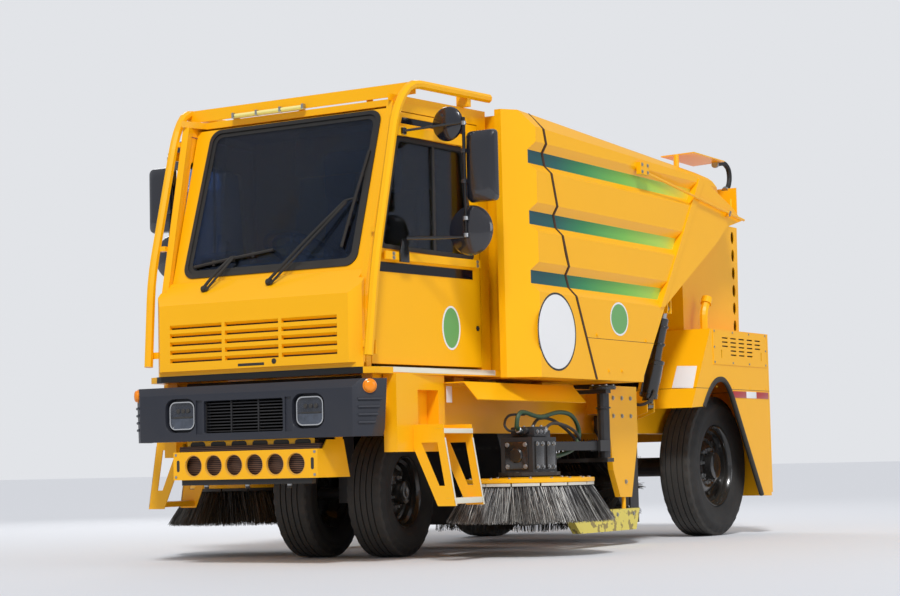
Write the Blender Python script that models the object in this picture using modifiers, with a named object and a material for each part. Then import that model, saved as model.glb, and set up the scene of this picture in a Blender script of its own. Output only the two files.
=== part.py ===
# Three-wheel-layout mechanical street sweeper: cab forward over a twin guide wheel, side-tipping
# hopper, gutter brooms either side and a main pickup broom ahead of the drive wheels.
# Metres, +Z up. Lengths along the truck are measured rearwards from the bumper's front face;
# the root empty then puts the middle of the plan at the world origin. +X is the truck's left.
import math

import bmesh
import bpy
from mathutils import Matrix, Vector

for old in list(bpy.data.objects):
    bpy.data.objects.remove(old, do_unlink=True)

# Overall sizes
LENGTH = 4.987
GAP = 0.0003
RUNNING = 0.0015
DOOR_GAP = 0.006

# Ladder frame
RAIL_INNER = 0.66
RAIL_OUTER = 0.76
RAIL_BOTTOM = 0.75
RAIL_TOP = 1.05
RAIL_SHEET = 0.010
RAIL_FRONT = 0.16
RAIL_REAR = 4.9497

# Twin guide wheel
GUIDE_Y = 1.148
GUIDE_RADIUS = 0.398
GUIDE_RIM = 0.222
GUIDE_CENTRE = 0.2545
GUIDE_TREAD = 0.115
GUIDE_BULGE = 0.013
STUB_RADIUS = 0.035
REST_STEER = math.radians(7.2)

# Drive wheels
DRIVE_Y = 4.368
DRIVE_RADIUS = 0.508
DRIVE_RIM = 0.296
DRIVE_CENTRE = 0.9275
DRIVE_TREAD = 0.1185
DRIVE_BULGE = 0.022
SPINDLE_RADIUS = 0.045

# Cab
FLOOR_BOTTOM = 1.090
FLOOR_TOP = 1.127
CAB_TOP = 2.700
ROOF_SHEET = 0.040
SIDE_ORIGIN = (0.748, 0.180)
SIDE_TAPER = math.radians(7.0)
SIDE_THICK = 0.045
CAB_REAR = 1.176
DOOR_FRONT = 0.050
DOOR_REAR = 1.085
DOOR_BOTTOM = 1.148
DOOR_TOP = 2.640
DOOR_SLANT = 0.260
DOOR_BEND = 1.600
DOOR_THICK = 0.040
GLASS_THICK = 0.006
SCREEN_FOOT = (0.272, 1.732)
SCREEN_HEAD = (0.578, 2.664)
GUARD_RADIUS = 0.028

# Bumper
BUMPER_HALF = 0.767
BUMPER_END = 0.910
BUMPER_RETURN = 0.143
BUMPER_BOTTOM = 0.731
BUMPER_TOP = 1.020
BUMPER_THICK = 0.085
LAMP_X = 0.462
LAMP_Z = 0.884

# Hopper and the fixed section ahead of it
BODY_HALF = 1.220
BODY_BOTTOM = 1.080
BODY_TOP = 2.720
SHOULDER_DROP = 0.100
SHOULDER_IN = 0.080
BODY_WALL = 0.006
GROOVE_DEPTH = 0.040
FAIRING_FRONT = 1.240
FAIRING_HALF = 1.020
CHEEK_DEEP = 0.155
SECTION_FRONT = 1.400
PART_LINE = ((1.459, 2.730), (1.752, 1.852), (2.127, 1.080))
PART_GAP = 0.028
TIP_X = -1.120
TIP_Z = 1.030
TIP_PIN = 0.016
DOOR_HINGE_X = -BODY_HALF - 0.016
BODY_REACH = BODY_HALF + 0.180
DOOR_HINGE_Z = 2.558

# Lift ram of the hopper
RAM_Y = 3.300
RAM_FOOT = (1.000, 0.940)
RAM_HEAD = (1.160, 1.600)
RAM_RADIUS = 0.040
RAM_WALL = 0.0045
RAM_STAGES = 3

# Gutter brooms
KERB_X = 1.080
KERB_Y = 1.460
KERB_DISC = 0.400
KERB_DISC_Z = 0.440
KERB_TIP = 0.530
KERB_TIP_Z = 0.195
KERB_POST = (1.140, 2.360)
KERB_PIN = 0.020
KERB_LIFT_Y = 2.250
KERB_LIFT_Z = 0.660
KERB_HEAD = {1: 1.000, -1: 0.952}

# Main broom and elevator
MAIN_Y = 3.420
MAIN_Z = 0.390
MAIN_RADIUS = 0.340
MAIN_HALF = 0.770
MAIN_SHAFT = 0.025
ARM_PIVOT = (2.950, 0.820)
CHUTE_HALF = 0.620
CHUTE = ((2.150, 0.150), (2.550, 0.150), (2.100, BODY_BOTTOM - GAP), (1.720, BODY_BOTTOM - GAP))

# Rear body
FENDER_TOP = 1.490
FENDER_SHEET = 0.006
REAR_PANEL_Y = 4.950
LAMP_DEEP = 0.010
HOUSING_HALF = 1.000

PAINT = {
    "yellow": ((0.95, 0.50, 0.01), 0.0, 0.35),
    "black": ((0.02, 0.02, 0.025), 0.0, 0.5),
    "bumper_blue": ((0.03, 0.035, 0.05), 0.0, 0.6),
    "rubber": ((0.03, 0.03, 0.03), 0.0, 0.8),
    "glass": ((0.10, 0.14, 0.20), 0.0, 0.08),
    "steel": ((0.55, 0.56, 0.58), 1.0, 0.3),
    "bristle": ((0.30, 0.30, 0.31), 0.3, 0.6),
    "amber": ((0.95, 0.35, 0.02), 0.0, 0.2),
    "red": ((0.6, 0.02, 0.02), 0.0, 0.25),
    "grey": ((0.35, 0.37, 0.38), 0.0, 0.6),
    "cloth": ((0.05, 0.05, 0.055), 0.0, 0.9),
    "shoe_paint": ((0.85, 0.75, 0.25), 0.0, 0.6),
}

parts = bpy.data.collections.new("street_sweeper")
cutters = bpy.data.collections.new("cutters")
bpy.context.scene.collection.children.link(parts)
bpy.context.scene.collection.children.link(cutters)

root = bpy.data.objects.new("sweeper_root", None)
root.location = (0.0, -LENGTH / 2, 0.0)
parts.objects.link(root)

SIDE_VIEW = Matrix(((0, 0, 1, 0), (1, 0, 0, 0), (0, 1, 0, 0), (0, 0, 0, 1)))
FRONT_VIEW = Matrix(((1, 0, 0, 0), (0, 0, -1, 0), (0, 1, 0, 0), (0, 0, 0, 1)))
TOP_VIEW = Matrix.Identity(4)


def finish_material(name):
    if name in bpy.data.materials:
        return bpy.data.materials[name]
    colour, metallic, roughness = PAINT[name]
    made = bpy.data.materials.new(name)
    made.use_nodes = True
    shader = made.node_tree.nodes["Principled BSDF"]
    shader.inputs["Base Color"].default_value = (*colour, 1.0)
    shader.inputs["Metallic"].default_value = metallic
    shader.inputs["Roughness"].default_value = roughness
    return made


def new_object(name, data):
    made = bpy.data.objects.new(name, data)
    cutters.objects.link(made)
    made.parent = root
    made.hide_render = True
    made.display_type = "WIRE"
    return made


def pivot(name, place, parent=root, turn=0.0):
    empty = bpy.data.objects.new(name, None)
    parts.objects.link(empty)
    empty.parent = parent
    empty.location = Vector(place) - Vector(parent.get("place", (0.0, 0.0, 0.0)))
    empty.rotation_euler.z = turn
    empty["place"] = place
    return empty


def part(made, name, paint, carrier=None):
    made.name = name
    made.data.name = name
    cutters.objects.unlink(made)
    parts.objects.link(made)
    made.hide_render = False
    made.display_type = "TEXTURED"
    made.data.materials.clear()
    made.data.materials.append(finish_material(paint))
    if carrier is not None:
        made.parent = carrier
        made.matrix_parent_inverse = Matrix.Translation(-Vector(carrier["place"]))
    return made


def mesh_from(bm, name, smooth=False):
    bmesh.ops.recalc_face_normals(bm, faces=bm.faces)
    mesh = bpy.data.meshes.new(name)
    bm.to_mesh(mesh)
    bm.free()
    if smooth:
        mesh.shade_smooth()
        mesh.set_sharp_from_angle(angle=math.radians(35))
    return new_object(name, mesh)


def box(low, high, name="box"):
    low = Vector(low)
    high = Vector(high)
    size = high - low
    bm = bmesh.new()
    place = Matrix.Translation((low + high) / 2) @ Matrix.Diagonal((*size, 1.0))
    bmesh.ops.create_cube(bm, size=1.0, matrix=place)
    return mesh_from(bm, name)


def mirrored_box(low, high, side, name="box"):
    xs = sorted((side * low[0], side * high[0]))
    return box((xs[0], low[1], low[2]), (xs[1], high[1], high[2]), name)


def cylinder(start, end, radius, segments=16, name="cylinder", end_radius=None):
    start = Vector(start)
    end = Vector(end)
    along = end - start
    turn = along.to_track_quat("Z", "Y").to_matrix().to_4x4()
    bm = bmesh.new()
    bmesh.ops.create_cone(
        bm, cap_ends=True, segments=segments, radius1=radius,
        radius2=radius if end_radius is None else end_radius, depth=along.length,
        matrix=Matrix.Translation((start + end) / 2) @ turn)
    return mesh_from(bm, name, smooth=True)


def outline(loops, matrix, low, high, name="outline"):
    curve = bpy.data.curves.new(name, "CURVE")
    curve.dimensions = "2D"
    curve.fill_mode = "BOTH"
    curve.extrude = (high - low) / 2
    for loop in loops:
        spline = curve.splines.new("POLY")
        spline.points.add(len(loop) - 1)
        for point, (a, b) in zip(spline.points, loop):
            point.co = (a, b, 0.0, 1.0)
        spline.use_cyclic_u = True
    drawn = bpy.data.objects.new(name, curve)
    cutters.objects.link(drawn)
    bpy.context.view_layer.update()
    mesh = bpy.data.meshes.new_from_object(drawn.evaluated_get(bpy.context.evaluated_depsgraph_get()))
    bpy.data.objects.remove(drawn, do_unlink=True)
    bm = bmesh.new()
    bm.from_mesh(mesh)
    bmesh.ops.remove_doubles(bm, verts=bm.verts, dist=0.00001)
    bmesh.ops.transform(bm, matrix=matrix @ Matrix.Translation((0, 0, (low + high) / 2)), verts=bm.verts)
    return mesh_from(bm, name)


def side_outline(loop, low, high, name="outline", holes=()):
    return outline([loop, *holes], SIDE_VIEW, low, high, name)


def front_outline(loop, low, high, name="outline", holes=()):
    return outline([loop, *holes], FRONT_VIEW, -high, -low, name)


def top_outline(loop, low, high, name="outline", holes=()):
    return outline([loop, *holes], TOP_VIEW, low, high, name)


def flank(side):
    sine = math.sin(SIDE_TAPER)
    cosine = math.cos(SIDE_TAPER)
    x, y = SIDE_ORIGIN
    return Matrix((
        (side * sine, 0, cosine, side * x),
        (cosine, 0, -side * sine, y),
        (0, 1, 0, 0),
        (0, 0, 0, 1)))


def flank_outline(side, loop, inner, outer, name="outline", holes=()):
    low, high = (inner, outer) if side > 0 else (-outer, -inner)
    return outline([loop, *holes], flank(side), low, high, name)


def flank_point(side, along, height, out):
    return flank(side) @ Vector((along, height, side * out))


def rounded(loop, radius, steps=3):
    made = []
    count = len(loop)
    for index in range(count):
        corner = Vector(loop[index])
        before = (Vector(loop[index - 1]) - corner).normalized()
        after = (Vector(loop[(index + 1) % count]) - corner).normalized()
        half = before.angle(after) / 2
        if radius <= 0 or half > math.radians(88):
            made.append(tuple(corner))
            continue
        reach = radius / math.tan(half)
        middle = corner + (before + after).normalized() * (radius / math.sin(half))
        first = corner + before * reach - middle
        last = corner + after * reach - middle
        sweep = first.angle_signed(last)
        for step in range(steps + 1):
            turn = -sweep * step / steps
            spun = Matrix.Rotation(turn, 2) @ first
            made.append(tuple(middle + spun))
    return made


def rectangle(a0, b0, a1, b1, radius=0.0, steps=3):
    loop = [(a0, b0), (a1, b0), (a1, b1), (a0, b1)]
    return rounded(loop, radius, steps) if radius else loop


def ring_points(centre, radius, count=16, squeeze=1.0):
    return [(centre[0] + radius * math.cos(2 * math.pi * k / count),
             centre[1] + squeeze * radius * math.sin(2 * math.pi * k / count)) for k in range(count)]


def turned(profile, centre, tilt, steps, name="turned"):
    # the profile runs down its outer side; it closes on itself unless it starts on the axis
    mesh = bpy.data.meshes.new(name)
    bm = bmesh.new()
    verts = [bm.verts.new((radius, 0.0, height)) for radius, height in profile]
    pairs = list(zip(verts, verts[1:]))
    if profile[0][0] > 0.0:
        pairs.append((verts[-1], verts[0]))
    for pair in pairs:
        bm.edges.new(pair)
    bm.to_mesh(mesh)
    bm.free()
    made = new_object(name, mesh)
    screw = made.modifiers.new("turn", "SCREW")
    screw.axis = "Z"
    screw.steps = steps
    screw.render_steps = steps
    screw.use_merge_vertices = True
    screw.merge_threshold = 0.00005
    screw.use_smooth_shade = True
    made.location = centre
    made.rotation_euler = tilt
    return made


def tube(points, radius, name="tube", bend=0.06, resolution=2):
    path = soft_path(points, bend)
    curve = bpy.data.curves.new(name, "CURVE")
    curve.dimensions = "3D"
    curve.bevel_depth = radius
    curve.bevel_resolution = resolution
    curve.use_fill_caps = True
    spline = curve.splines.new("POLY")
    spline.points.add(len(path) - 1)
    for point, place in zip(spline.points, path):
        point.co = (*place, 1.0)
    drawn = bpy.data.objects.new(name, curve)
    cutters.objects.link(drawn)
    bpy.context.view_layer.update()
    mesh = bpy.data.meshes.new_from_object(drawn.evaluated_get(bpy.context.evaluated_depsgraph_get()))
    bpy.data.objects.remove(drawn, do_unlink=True)
    bm = bmesh.new()
    bm.from_mesh(mesh)
    bmesh.ops.remove_doubles(bm, verts=bm.verts, dist=0.00001)
    return mesh_from(bm, name, smooth=True)


def soft_path(points, bend, steps=3):
    points = [Vector(point) for point in points]
    path = [points[0]]
    for index in range(1, len(points) - 1):
        corner = points[index]
        before = points[index - 1] - corner
        after = points[index + 1] - corner
        reach = min(bend, before.length * 0.45, after.length * 0.45)
        start = corner + before.normalized() * reach
        stop = corner + after.normalized() * reach
        for step in range(steps + 1):
            t = step / steps
            path.append(start * (1 - t) ** 2 + corner * (2 * t * (1 - t)) + stop * t ** 2)
    path.append(points[-1])
    return path


def combine(target, others, operation):
    for other in others:
        boolean = target.modifiers.new(operation.lower(), "BOOLEAN")
        boolean.operation = operation
        boolean.object = other
        boolean.solver = "EXACT"
    return target


def join(target, *others):
    return combine(target, others, "UNION")


def cut(target, *others):
    return combine(target, others, "DIFFERENCE")


def keep_common(target, *others):
    return combine(target, others, "INTERSECT")


def settled(piece):
    # the piece's modifiers worked out and its own placement folded into the mesh
    bpy.context.view_layer.update()
    mesh = bpy.data.meshes.new_from_object(piece.evaluated_get(bpy.context.evaluated_depsgraph_get()))
    mesh.transform(root.matrix_world.inverted() @ piece.matrix_world)
    return new_object("settled", mesh)


def inset(points, amount):
    # closed outline moved inwards by the wall thickness; the outline runs anticlockwise
    made = []
    count = len(points)
    for index in range(count):
        here = Vector(points[index])
        into = (here - Vector(points[index - 1])).normalized()
        away = (Vector(points[(index + 1) % count]) - here).normalized()
        normal_in = Vector((-into.y, into.x))
        normal_out = Vector((-away.y, away.x))
        mitre = (normal_in + normal_out) / (1 + normal_in.dot(normal_out))
        made.append(tuple(here + mitre * amount))
    return made


# Ladder frame: two channels and the cross members that carry the fork, elevator and engine
def rail(side):
    web = RAIL_OUTER - RAIL_SHEET
    loop = [(RAIL_INNER, RAIL_BOTTOM), (RAIL_OUTER, RAIL_BOTTOM), (RAIL_OUTER, RAIL_TOP),
            (RAIL_INNER, RAIL_TOP), (RAIL_INNER, RAIL_TOP - RAIL_SHEET), (web, RAIL_TOP - RAIL_SHEET),
            (web, RAIL_BOTTOM + RAIL_SHEET), (RAIL_INNER, RAIL_BOTTOM + RAIL_SHEET)]
    return front_outline([(side * x, z) for x, z in loop], RAIL_FRONT, RAIL_REAR, "rail")


FORK_BEAM_BOTTOM = 0.900
CROSS_MEMBERS = (
    {"front": 0.180, "rear": 0.300, "bottom": 0.780, "top": 1.000},
    {"front": 0.990, "rear": 1.310, "bottom": FORK_BEAM_BOTTOM, "top": 1.030},
    {"front": 2.700, "rear": 2.800, "bottom": 0.800, "top": 1.000},
    {"front": 3.860, "rear": 3.980, "bottom": 0.800, "top": 1.040},
    {"front": 4.620, "rear": 4.740, "bottom": 0.800, "top": 1.040},
)
frame = rail(1)
join(frame, rail(-1))
reach = RAIL_OUTER - RAIL_SHEET / 2
for member in CROSS_MEMBERS:
    beam = box((-reach, member["front"], member["bottom"]), (reach, member["rear"], member["top"]), "beam")
    join(frame, beam)
MOUNT_ROWS = (
    {"front": 0.240, "rear": 0.360, "top": FLOOR_BOTTOM},
    {"front": 1.140, "rear": 1.260, "top": FLOOR_BOTTOM},
    {"front": 1.450, "rear": 1.650, "top": BODY_BOTTOM},
    {"front": 2.260, "rear": 2.700, "top": BODY_BOTTOM},
)
for side in (1, -1):
    # cab mounts and hopper rests on the rails, and the brackets that reach the bumper
    for mount in MOUNT_ROWS:
        join(frame, mirrored_box((RAIL_INNER + 0.015, mount["front"], RAIL_TOP - 0.005),
                                 (RAIL_OUTER - 0.012, mount["rear"], mount["top"] - GAP), side))
    join(frame, mirrored_box((RAIL_INNER + 0.002, BUMPER_THICK + GAP, RAIL_BOTTOM + 0.020),
                             (BUMPER_HALF - 0.040, RAIL_FRONT + 0.060, RAIL_TOP - 0.070), side))

# Guide wheel fork: turntable, single leg between the wheels and a stub axle through it
steering = pivot("steering_pivot", (0.0, GUIDE_Y, 0.0), turn=REST_STEER)
fork = cylinder((0, GUIDE_Y, 0.840), (0, GUIDE_Y, FORK_BEAM_BOTTOM - GAP), 0.200, 32)
join(fork, box((-0.055, GUIDE_Y - 0.110, GUIDE_RADIUS - 0.060), (0.055, GUIDE_Y + 0.110, 0.850)))
join(fork, cylinder((-0.300, GUIDE_Y, GUIDE_RADIUS), (0.300, GUIDE_Y, GUIDE_RADIUS), STUB_RADIUS))
part(settled(fork), "guide_fork", "black", steering)


def tyre_profile(radius, rim, tread, bulge):
    shoulder = radius - 0.018
    middle = (radius + rim) / 2
    foot = rim + 0.030
    wide = tread + bulge
    half = [(radius, tread * 0.86), (shoulder, tread + 0.004), (middle, wide), (foot, tread + 0.006),
            (rim, tread - 0.006)]
    return [(r, a) for r, a in reversed(half)] + [(r, -a) for r, a in half]


def rim_profile(rim, tread, bore, depth):
    outer = rim - GAP
    lip = tread - 0.008
    return [(0.0, lip - 0.030), (0.105, lip - 0.030), (0.118, lip - 0.080), (outer - 0.034, lip - 0.070),
            (outer - 0.018, lip), (outer, lip), (outer, -lip), (outer - 0.018, -lip),
            (outer - 0.030, lip - 0.095), (0.090, lip - 0.110), (0.090, -depth), (bore, -depth),
            (bore, lip - 0.050), (0.0, lip - 0.050)]


GUIDE_STEPS = 24
DRIVE_STEPS = 32


def wheel_tilt(side):
    return (0.0, side * math.pi / 2, 0.0)


guide_axle = pivot("guide_axle_pivot", (0.0, GUIDE_Y, GUIDE_RADIUS), steering)
for side, word in ((1, "left"), (-1, "right")):
    place = (side * GUIDE_CENTRE, GUIDE_Y, GUIDE_RADIUS)
    profile = tyre_profile(GUIDE_RADIUS, GUIDE_RIM, GUIDE_TREAD, GUIDE_BULGE)
    part(settled(turned(profile, place, wheel_tilt(side), GUIDE_STEPS)), word + "_guide_tyre", "rubber", guide_axle)
    profile = rim_profile(GUIDE_RIM, GUIDE_TREAD, STUB_RADIUS + RUNNING, 0.130)
    part(settled(turned(profile, place, wheel_tilt(side), GUIDE_STEPS)), word + "_guide_rim", "black", guide_axle)

# Drive axle on its spring blocks
axle = cylinder((-0.755, DRIVE_Y, DRIVE_RADIUS), (0.755, DRIVE_Y, DRIVE_RADIUS), 0.070)
join(axle, cylinder((-0.160, DRIVE_Y, DRIVE_RADIUS), (0.160, DRIVE_Y, DRIVE_RADIUS), 0.190, 28))
for side in (1, -1):
    join(axle, mirrored_box((0.665, DRIVE_Y - 0.090, 0.445), (0.755, DRIVE_Y + 0.090, RAIL_BOTTOM - GAP), side))
    join(axle, cylinder((side * 0.700, DRIVE_Y, DRIVE_RADIUS),
                        (side * (DRIVE_CENTRE + 0.050), DRIVE_Y, DRIVE_RADIUS), SPINDLE_RADIUS))
part(axle, "drive_axle", "black")

for side, word in ((1, "left"), (-1, "right")):
    hub = pivot(word + "_drive_pivot", (side * DRIVE_CENTRE, DRIVE_Y, DRIVE_RADIUS))
    place = (side * DRIVE_CENTRE, DRIVE_Y, DRIVE_RADIUS)
    tyre = turned(tyre_profile(DRIVE_RADIUS, DRIVE_RIM, DRIVE_TREAD, DRIVE_BULGE), place, wheel_tilt(side), DRIVE_STEPS)
    part(settled(tyre), word + "_drive_tyre", "rubber", hub)
    rim = turned(rim_profile(DRIVE_RIM, DRIVE_TREAD, SPINDLE_RADIUS + RUNNING, 0.100), place, wheel_tilt(side), DRIVE_STEPS)
    part(settled(rim), word + "_drive_rim", "black", hub)

# Bumper with recesses for the lamps and the slotted cooling grille
bumper_plan = [(-BUMPER_HALF, 0.0), (BUMPER_HALF, 0.0), (BUMPER_END, BUMPER_RETURN),
               (BUMPER_END - 0.060, BUMPER_RETURN + 0.060), (BUMPER_HALF - 0.035, BUMPER_THICK),
               (-BUMPER_HALF + 0.035, BUMPER_THICK), (-BUMPER_END + 0.060, BUMPER_RETURN + 0.060),
               (-BUMPER_END, BUMPER_RETURN)]
bumper = top_outline(bumper_plan, BUMPER_BOTTOM, BUMPER_TOP)
top_slope = [(-0.05, BUMPER_TOP - 0.037), (-0.0005, BUMPER_TOP - 0.037), (0.045, BUMPER_TOP + 0.001),
             (0.045, BUMPER_TOP + 0.05), (-0.05, BUMPER_TOP + 0.05)]
cut(bumper, side_outline(top_slope, -1.2, 1.2))
for side in (1, -1):
    slant = [(side * (BUMPER_END + 0.001), BUMPER_TOP + 0.01), (side * (BUMPER_END + 0.001), BUMPER_BOTTOM - 0.01),
             (side * (BUMPER_END - 0.070), BUMPER_BOTTOM - 0.01)]
    cut(bumper, front_outline(slant, -0.1, 0.3))
    recess = rectangle(side * LAMP_X - 0.110, LAMP_Z - 0.095, side * LAMP_X + 0.110, LAMP_Z + 0.095, 0.070, 2)
    cut(bumper, front_outline(recess, -0.1, 0.2))
GRILLE_HALF = 0.285
cut(bumper, box((-GRILLE_HALF, -0.1, 0.775), (GRILLE_HALF, 0.2, 0.965)))
for row in range(6):
    foot = 0.782 + row * 0.030
    join(bumper, box((-GRILLE_HALF - 0.010, 0.030, foot), (GRILLE_HALF + 0.010, 0.050, foot + 0.014)))


def headlamp(side):
    shell = rectangle(side * LAMP_X - 0.0815, LAMP_Z - 0.080, side * LAMP_X + 0.0815, LAMP_Z + 0.080, 0.045, 2)
    lamp = front_outline(shell, 0.018, 0.095)
    rear = rectangle(side * LAMP_X - 0.110 + GAP, LAMP_Z - 0.095 + GAP, side * LAMP_X + 0.110 - GAP,
                     LAMP_Z + 0.095 - GAP, 0.070 - GAP, 2)
    return join(lamp, front_outline(rear, 0.060, 0.080))


for side, word in ((1, "left"), (-1, "right")):
    part(settled(headlamp(side)), word + "_headlamp", "glass")
    # amber marker lens on the slanted end
    out = Vector((side, -1.0, 0.0)).normalized()
    foot = Vector((side * (BUMPER_HALF + BUMPER_END) / 2, BUMPER_RETURN / 2, 0.935)) - out * 0.003
    join(bumper, cylinder(foot, foot + out * 0.025, 0.038, 16, end_radius=0.028))
part(settled(bumper), "front_bumper", "bumper_blue")

# Lower guard: folded tray with six round holes and the oil cooler standing in it
GUARD_HALF = 0.520
GUARD_BOTTOM = 0.504
GUARD_TOP = 0.668
HOLE_PITCH = 0.148
HOLE_RADIUS = 0.062
GUARD_SHEET = 0.008
cheek = [(0.004, GUARD_BOTTOM), (0.330, GUARD_BOTTOM), (0.270, RAIL_BOTTOM - 0.030), (0.100, RAIL_BOTTOM - 0.030),
         (0.060, GUARD_TOP), (0.004, GUARD_TOP)]
guard = side_outline(cheek, -GUARD_HALF, GUARD_HALF)
cut(guard, box((-GUARD_HALF + GUARD_SHEET, 0.004 + GUARD_SHEET, GUARD_BOTTOM + GUARD_SHEET),
               (GUARD_HALF - GUARD_SHEET, 0.5, 0.9)))
for index in range(6):
    centre = ((index - 2.5) * HOLE_PITCH, (GUARD_BOTTOM + GUARD_TOP) / 2)
    cut(guard, front_outline(ring_points(centre, HOLE_RADIUS), -0.05, 0.05))
# cheeks hang from the front cross member; the spray bar lies along the tray's front edge
SPRAY_BOTTOM = 0.472
for side in (1, -1):
    join(guard, mirrored_box((GUARD_HALF - 0.010, 0.190, RAIL_BOTTOM - 0.060),
                             (GUARD_HALF - 0.001, 0.262, CROSS_MEMBERS[0]["bottom"] - GAP), side))
join(guard, box((-0.470, 0.020, SPRAY_BOTTOM), (0.470, 0.055, GUARD_BOTTOM + 0.002)))
for x in (0.300, 0.0, -0.300):
    join(guard, cylinder((x, 0.0375, SPRAY_BOTTOM + 0.003), (x, 0.0375, SPRAY_BOTTOM - 0.022), 0.014, 12))
part(settled(guard), "lower_guard", "yellow")

# Cab floor with the entry ledge along each side, on rubber mounts
def flank_x(y):
    return SIDE_ORIGIN[0] + (y - SIDE_ORIGIN[1]) * math.tan(SIDE_TAPER)


LEDGE = 0.068
FLOOR_FRONT = 0.166
FLOOR_REAR = 1.385
plan = [(-0.700, 0.120), (0.700, 0.120), (flank_x(FLOOR_FRONT) + LEDGE, FLOOR_FRONT),
        (flank_x(FLOOR_REAR) + LEDGE - 0.020, FLOOR_REAR), (-flank_x(FLOOR_REAR) - LEDGE + 0.020, FLOOR_REAR),
        (-flank_x(FLOOR_FRONT) - LEDGE, FLOOR_FRONT)]
part(top_outline(plan, FLOOR_BOTTOM, FLOOR_TOP), "cab_floor", "yellow")


# Side frames: pillars and header round each door
def door_edge(height):
    return DOOR_FRONT + max(0.0, height - DOOR_BEND) * DOOR_SLANT


def side_frame(side):
    foot = FLOOR_TOP + GAP
    head = CAB_TOP - GAP
    front = DOOR_FRONT - 0.050
    slot = DOOR_FRONT - DOOR_GAP
    loop = [(front, foot), (slot, foot), (slot, DOOR_BEND), (door_edge(DOOR_TOP) - DOOR_GAP, DOOR_TOP + DOOR_GAP),
            (DOOR_REAR + DOOR_GAP, DOOR_TOP + DOOR_GAP), (DOOR_REAR + DOOR_GAP, foot), (CAB_REAR, foot),
            (CAB_REAR, head), (door_edge(head) - 0.050, head), (front, DOOR_BEND - 0.020)]
    return flank_outline(side, loop, -SIDE_THICK, 0.0)


HINGE_ALONG = DOOR_FRONT - DOOR_GAP / 2
HINGE_OUT = 0.030
HINGE_WEB = 0.0075
HINGE_RADIUS = 0.011
HINGE_LONG = 0.040
HINGE_FEET = (1.240, 1.500)
CAB_GAP = 0.0005


def hinge_half(side, foot, reach_to):
    # knuckle on the hinge line with a leaf lying on the sheet
    barrel = cylinder(flank_point(side, HINGE_ALONG, foot, HINGE_OUT),
                      flank_point(side, HINGE_ALONG, foot + HINGE_LONG, HINGE_OUT), HINGE_RADIUS, 12)
    low, high = sorted((HINGE_ALONG, reach_to))
    leaf = flank_outline(side, rectangle(low, foot, high, foot + HINGE_LONG), -0.002, 0.006)
    toward = 1 if reach_to > HINGE_ALONG else -1
    low, high = sorted((HINGE_ALONG + toward * 0.0035, HINGE_ALONG + toward * (0.0035 + HINGE_WEB)))
    web = flank_outline(side, rectangle(low, foot + 0.001, high, foot + HINGE_LONG - 0.001), -0.001, HINGE_OUT)
    return join(barrel, leaf, web)


def framed_side(side):
    made = side_frame(side)
    for foot in HINGE_FEET:
        join(made, hinge_half(side, foot - HINGE_LONG - GAP, DOOR_FRONT - 0.035))
    return made



# Nose panel: upright front, sloping top and chamfered corners, with fifteen louvre slots
NOSE_Y = 0.093
NOSE_HALF = 0.745
NOSE_SHEET = 0.025
foot_y, foot_z = SCREEN_FOOT
NOSE_FOOT = 1.153
NOSE_FLANGE = 0.055
# a foot flange behind the panel stands on the floor's front edge
nose_loop = [(NOSE_Y, NOSE_FOOT), (0.122, NOSE_FOOT), (0.122, FLOOR_TOP + GAP), (0.162, FLOOR_TOP + GAP),
             (0.162, NOSE_FOOT + 0.020), (NOSE_Y + NOSE_SHEET, NOSE_FOOT + 0.020), (NOSE_Y + NOSE_SHEET, 1.545),
             (foot_y - 0.008, foot_z - 0.045), (foot_y - 0.036, foot_z - 0.036), (NOSE_Y, 1.551)]
nose = side_outline(nose_loop, -NOSE_HALF, NOSE_HALF)
for side in (1, -1):
    flange = [(NOSE_Y + 0.002, NOSE_FOOT), (0.176, NOSE_FOOT), (0.176, 1.585), (0.245, foot_z - 0.076),
              (0.232, foot_z - 0.047), (NOSE_Y + 0.002, 1.552)]
    join(nose, side_outline(flange, *sorted((side * (NOSE_HALF - NOSE_FLANGE), side * (NOSE_HALF - 0.0005)))))
for side in (1, -1):
    wedge = [(side * 0.686, NOSE_Y - 0.001), (side * 0.80, NOSE_Y - 0.001), (side * 0.80, 0.207)]
    cut(nose, top_outline(wedge, 1.0, 1.8))
SLOT_ROWS = 5
SLOT_COLUMNS = 3
SLOT_WIDTH = 0.390
SLOT_HEIGHT = 0.026
for column in range(SLOT_COLUMNS):
    for row in range(SLOT_ROWS):
        x = (column - 1) * 0.413
        z = 1.2175 + row * 0.050
        cut(nose, box((x - SLOT_WIDTH / 2, 0.0, z - SLOT_HEIGHT / 2), (x + SLOT_WIDTH / 2, 0.15, z + SLOT_HEIGHT / 2)))
for side in (1, -1):
    # the upper part passes between the door frames
    cut(nose, flank_outline(side, rectangle(-GAP * 2, 1.000, 0.400, 1.900), -SIDE_THICK - GAP, 0.100))
part(settled(nose), "nose_panel", "yellow")

# Windshield and its frame lie in one sloping plane
head_y, head_z = SCREEN_HEAD
slope = Vector((0.0, head_y - foot_y, head_z - foot_z))
SCREEN_LENGTH = slope.length
up = slope.normalized()
screen_view = Matrix((
    (1, 0, 0, 0),
    (0, up.y, -up.z, foot_y),
    (0, up.z, up.y, foot_z),
    (0, 0, 0, 1)))
SCREEN_HALF = 0.625
SCREEN_RADIUS = 0.070
opening = rectangle(-SCREEN_HALF, 0.0, SCREEN_HALF, SCREEN_LENGTH, SCREEN_RADIUS, 4)
pane = inset(opening, GAP)


def frame_half(height):
    y = foot_y + (height - foot_z) * (head_y - foot_y) / (head_z - foot_z)
    return flank_x(y) - SIDE_THICK / math.cos(SIDE_TAPER) - CAB_GAP


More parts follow.
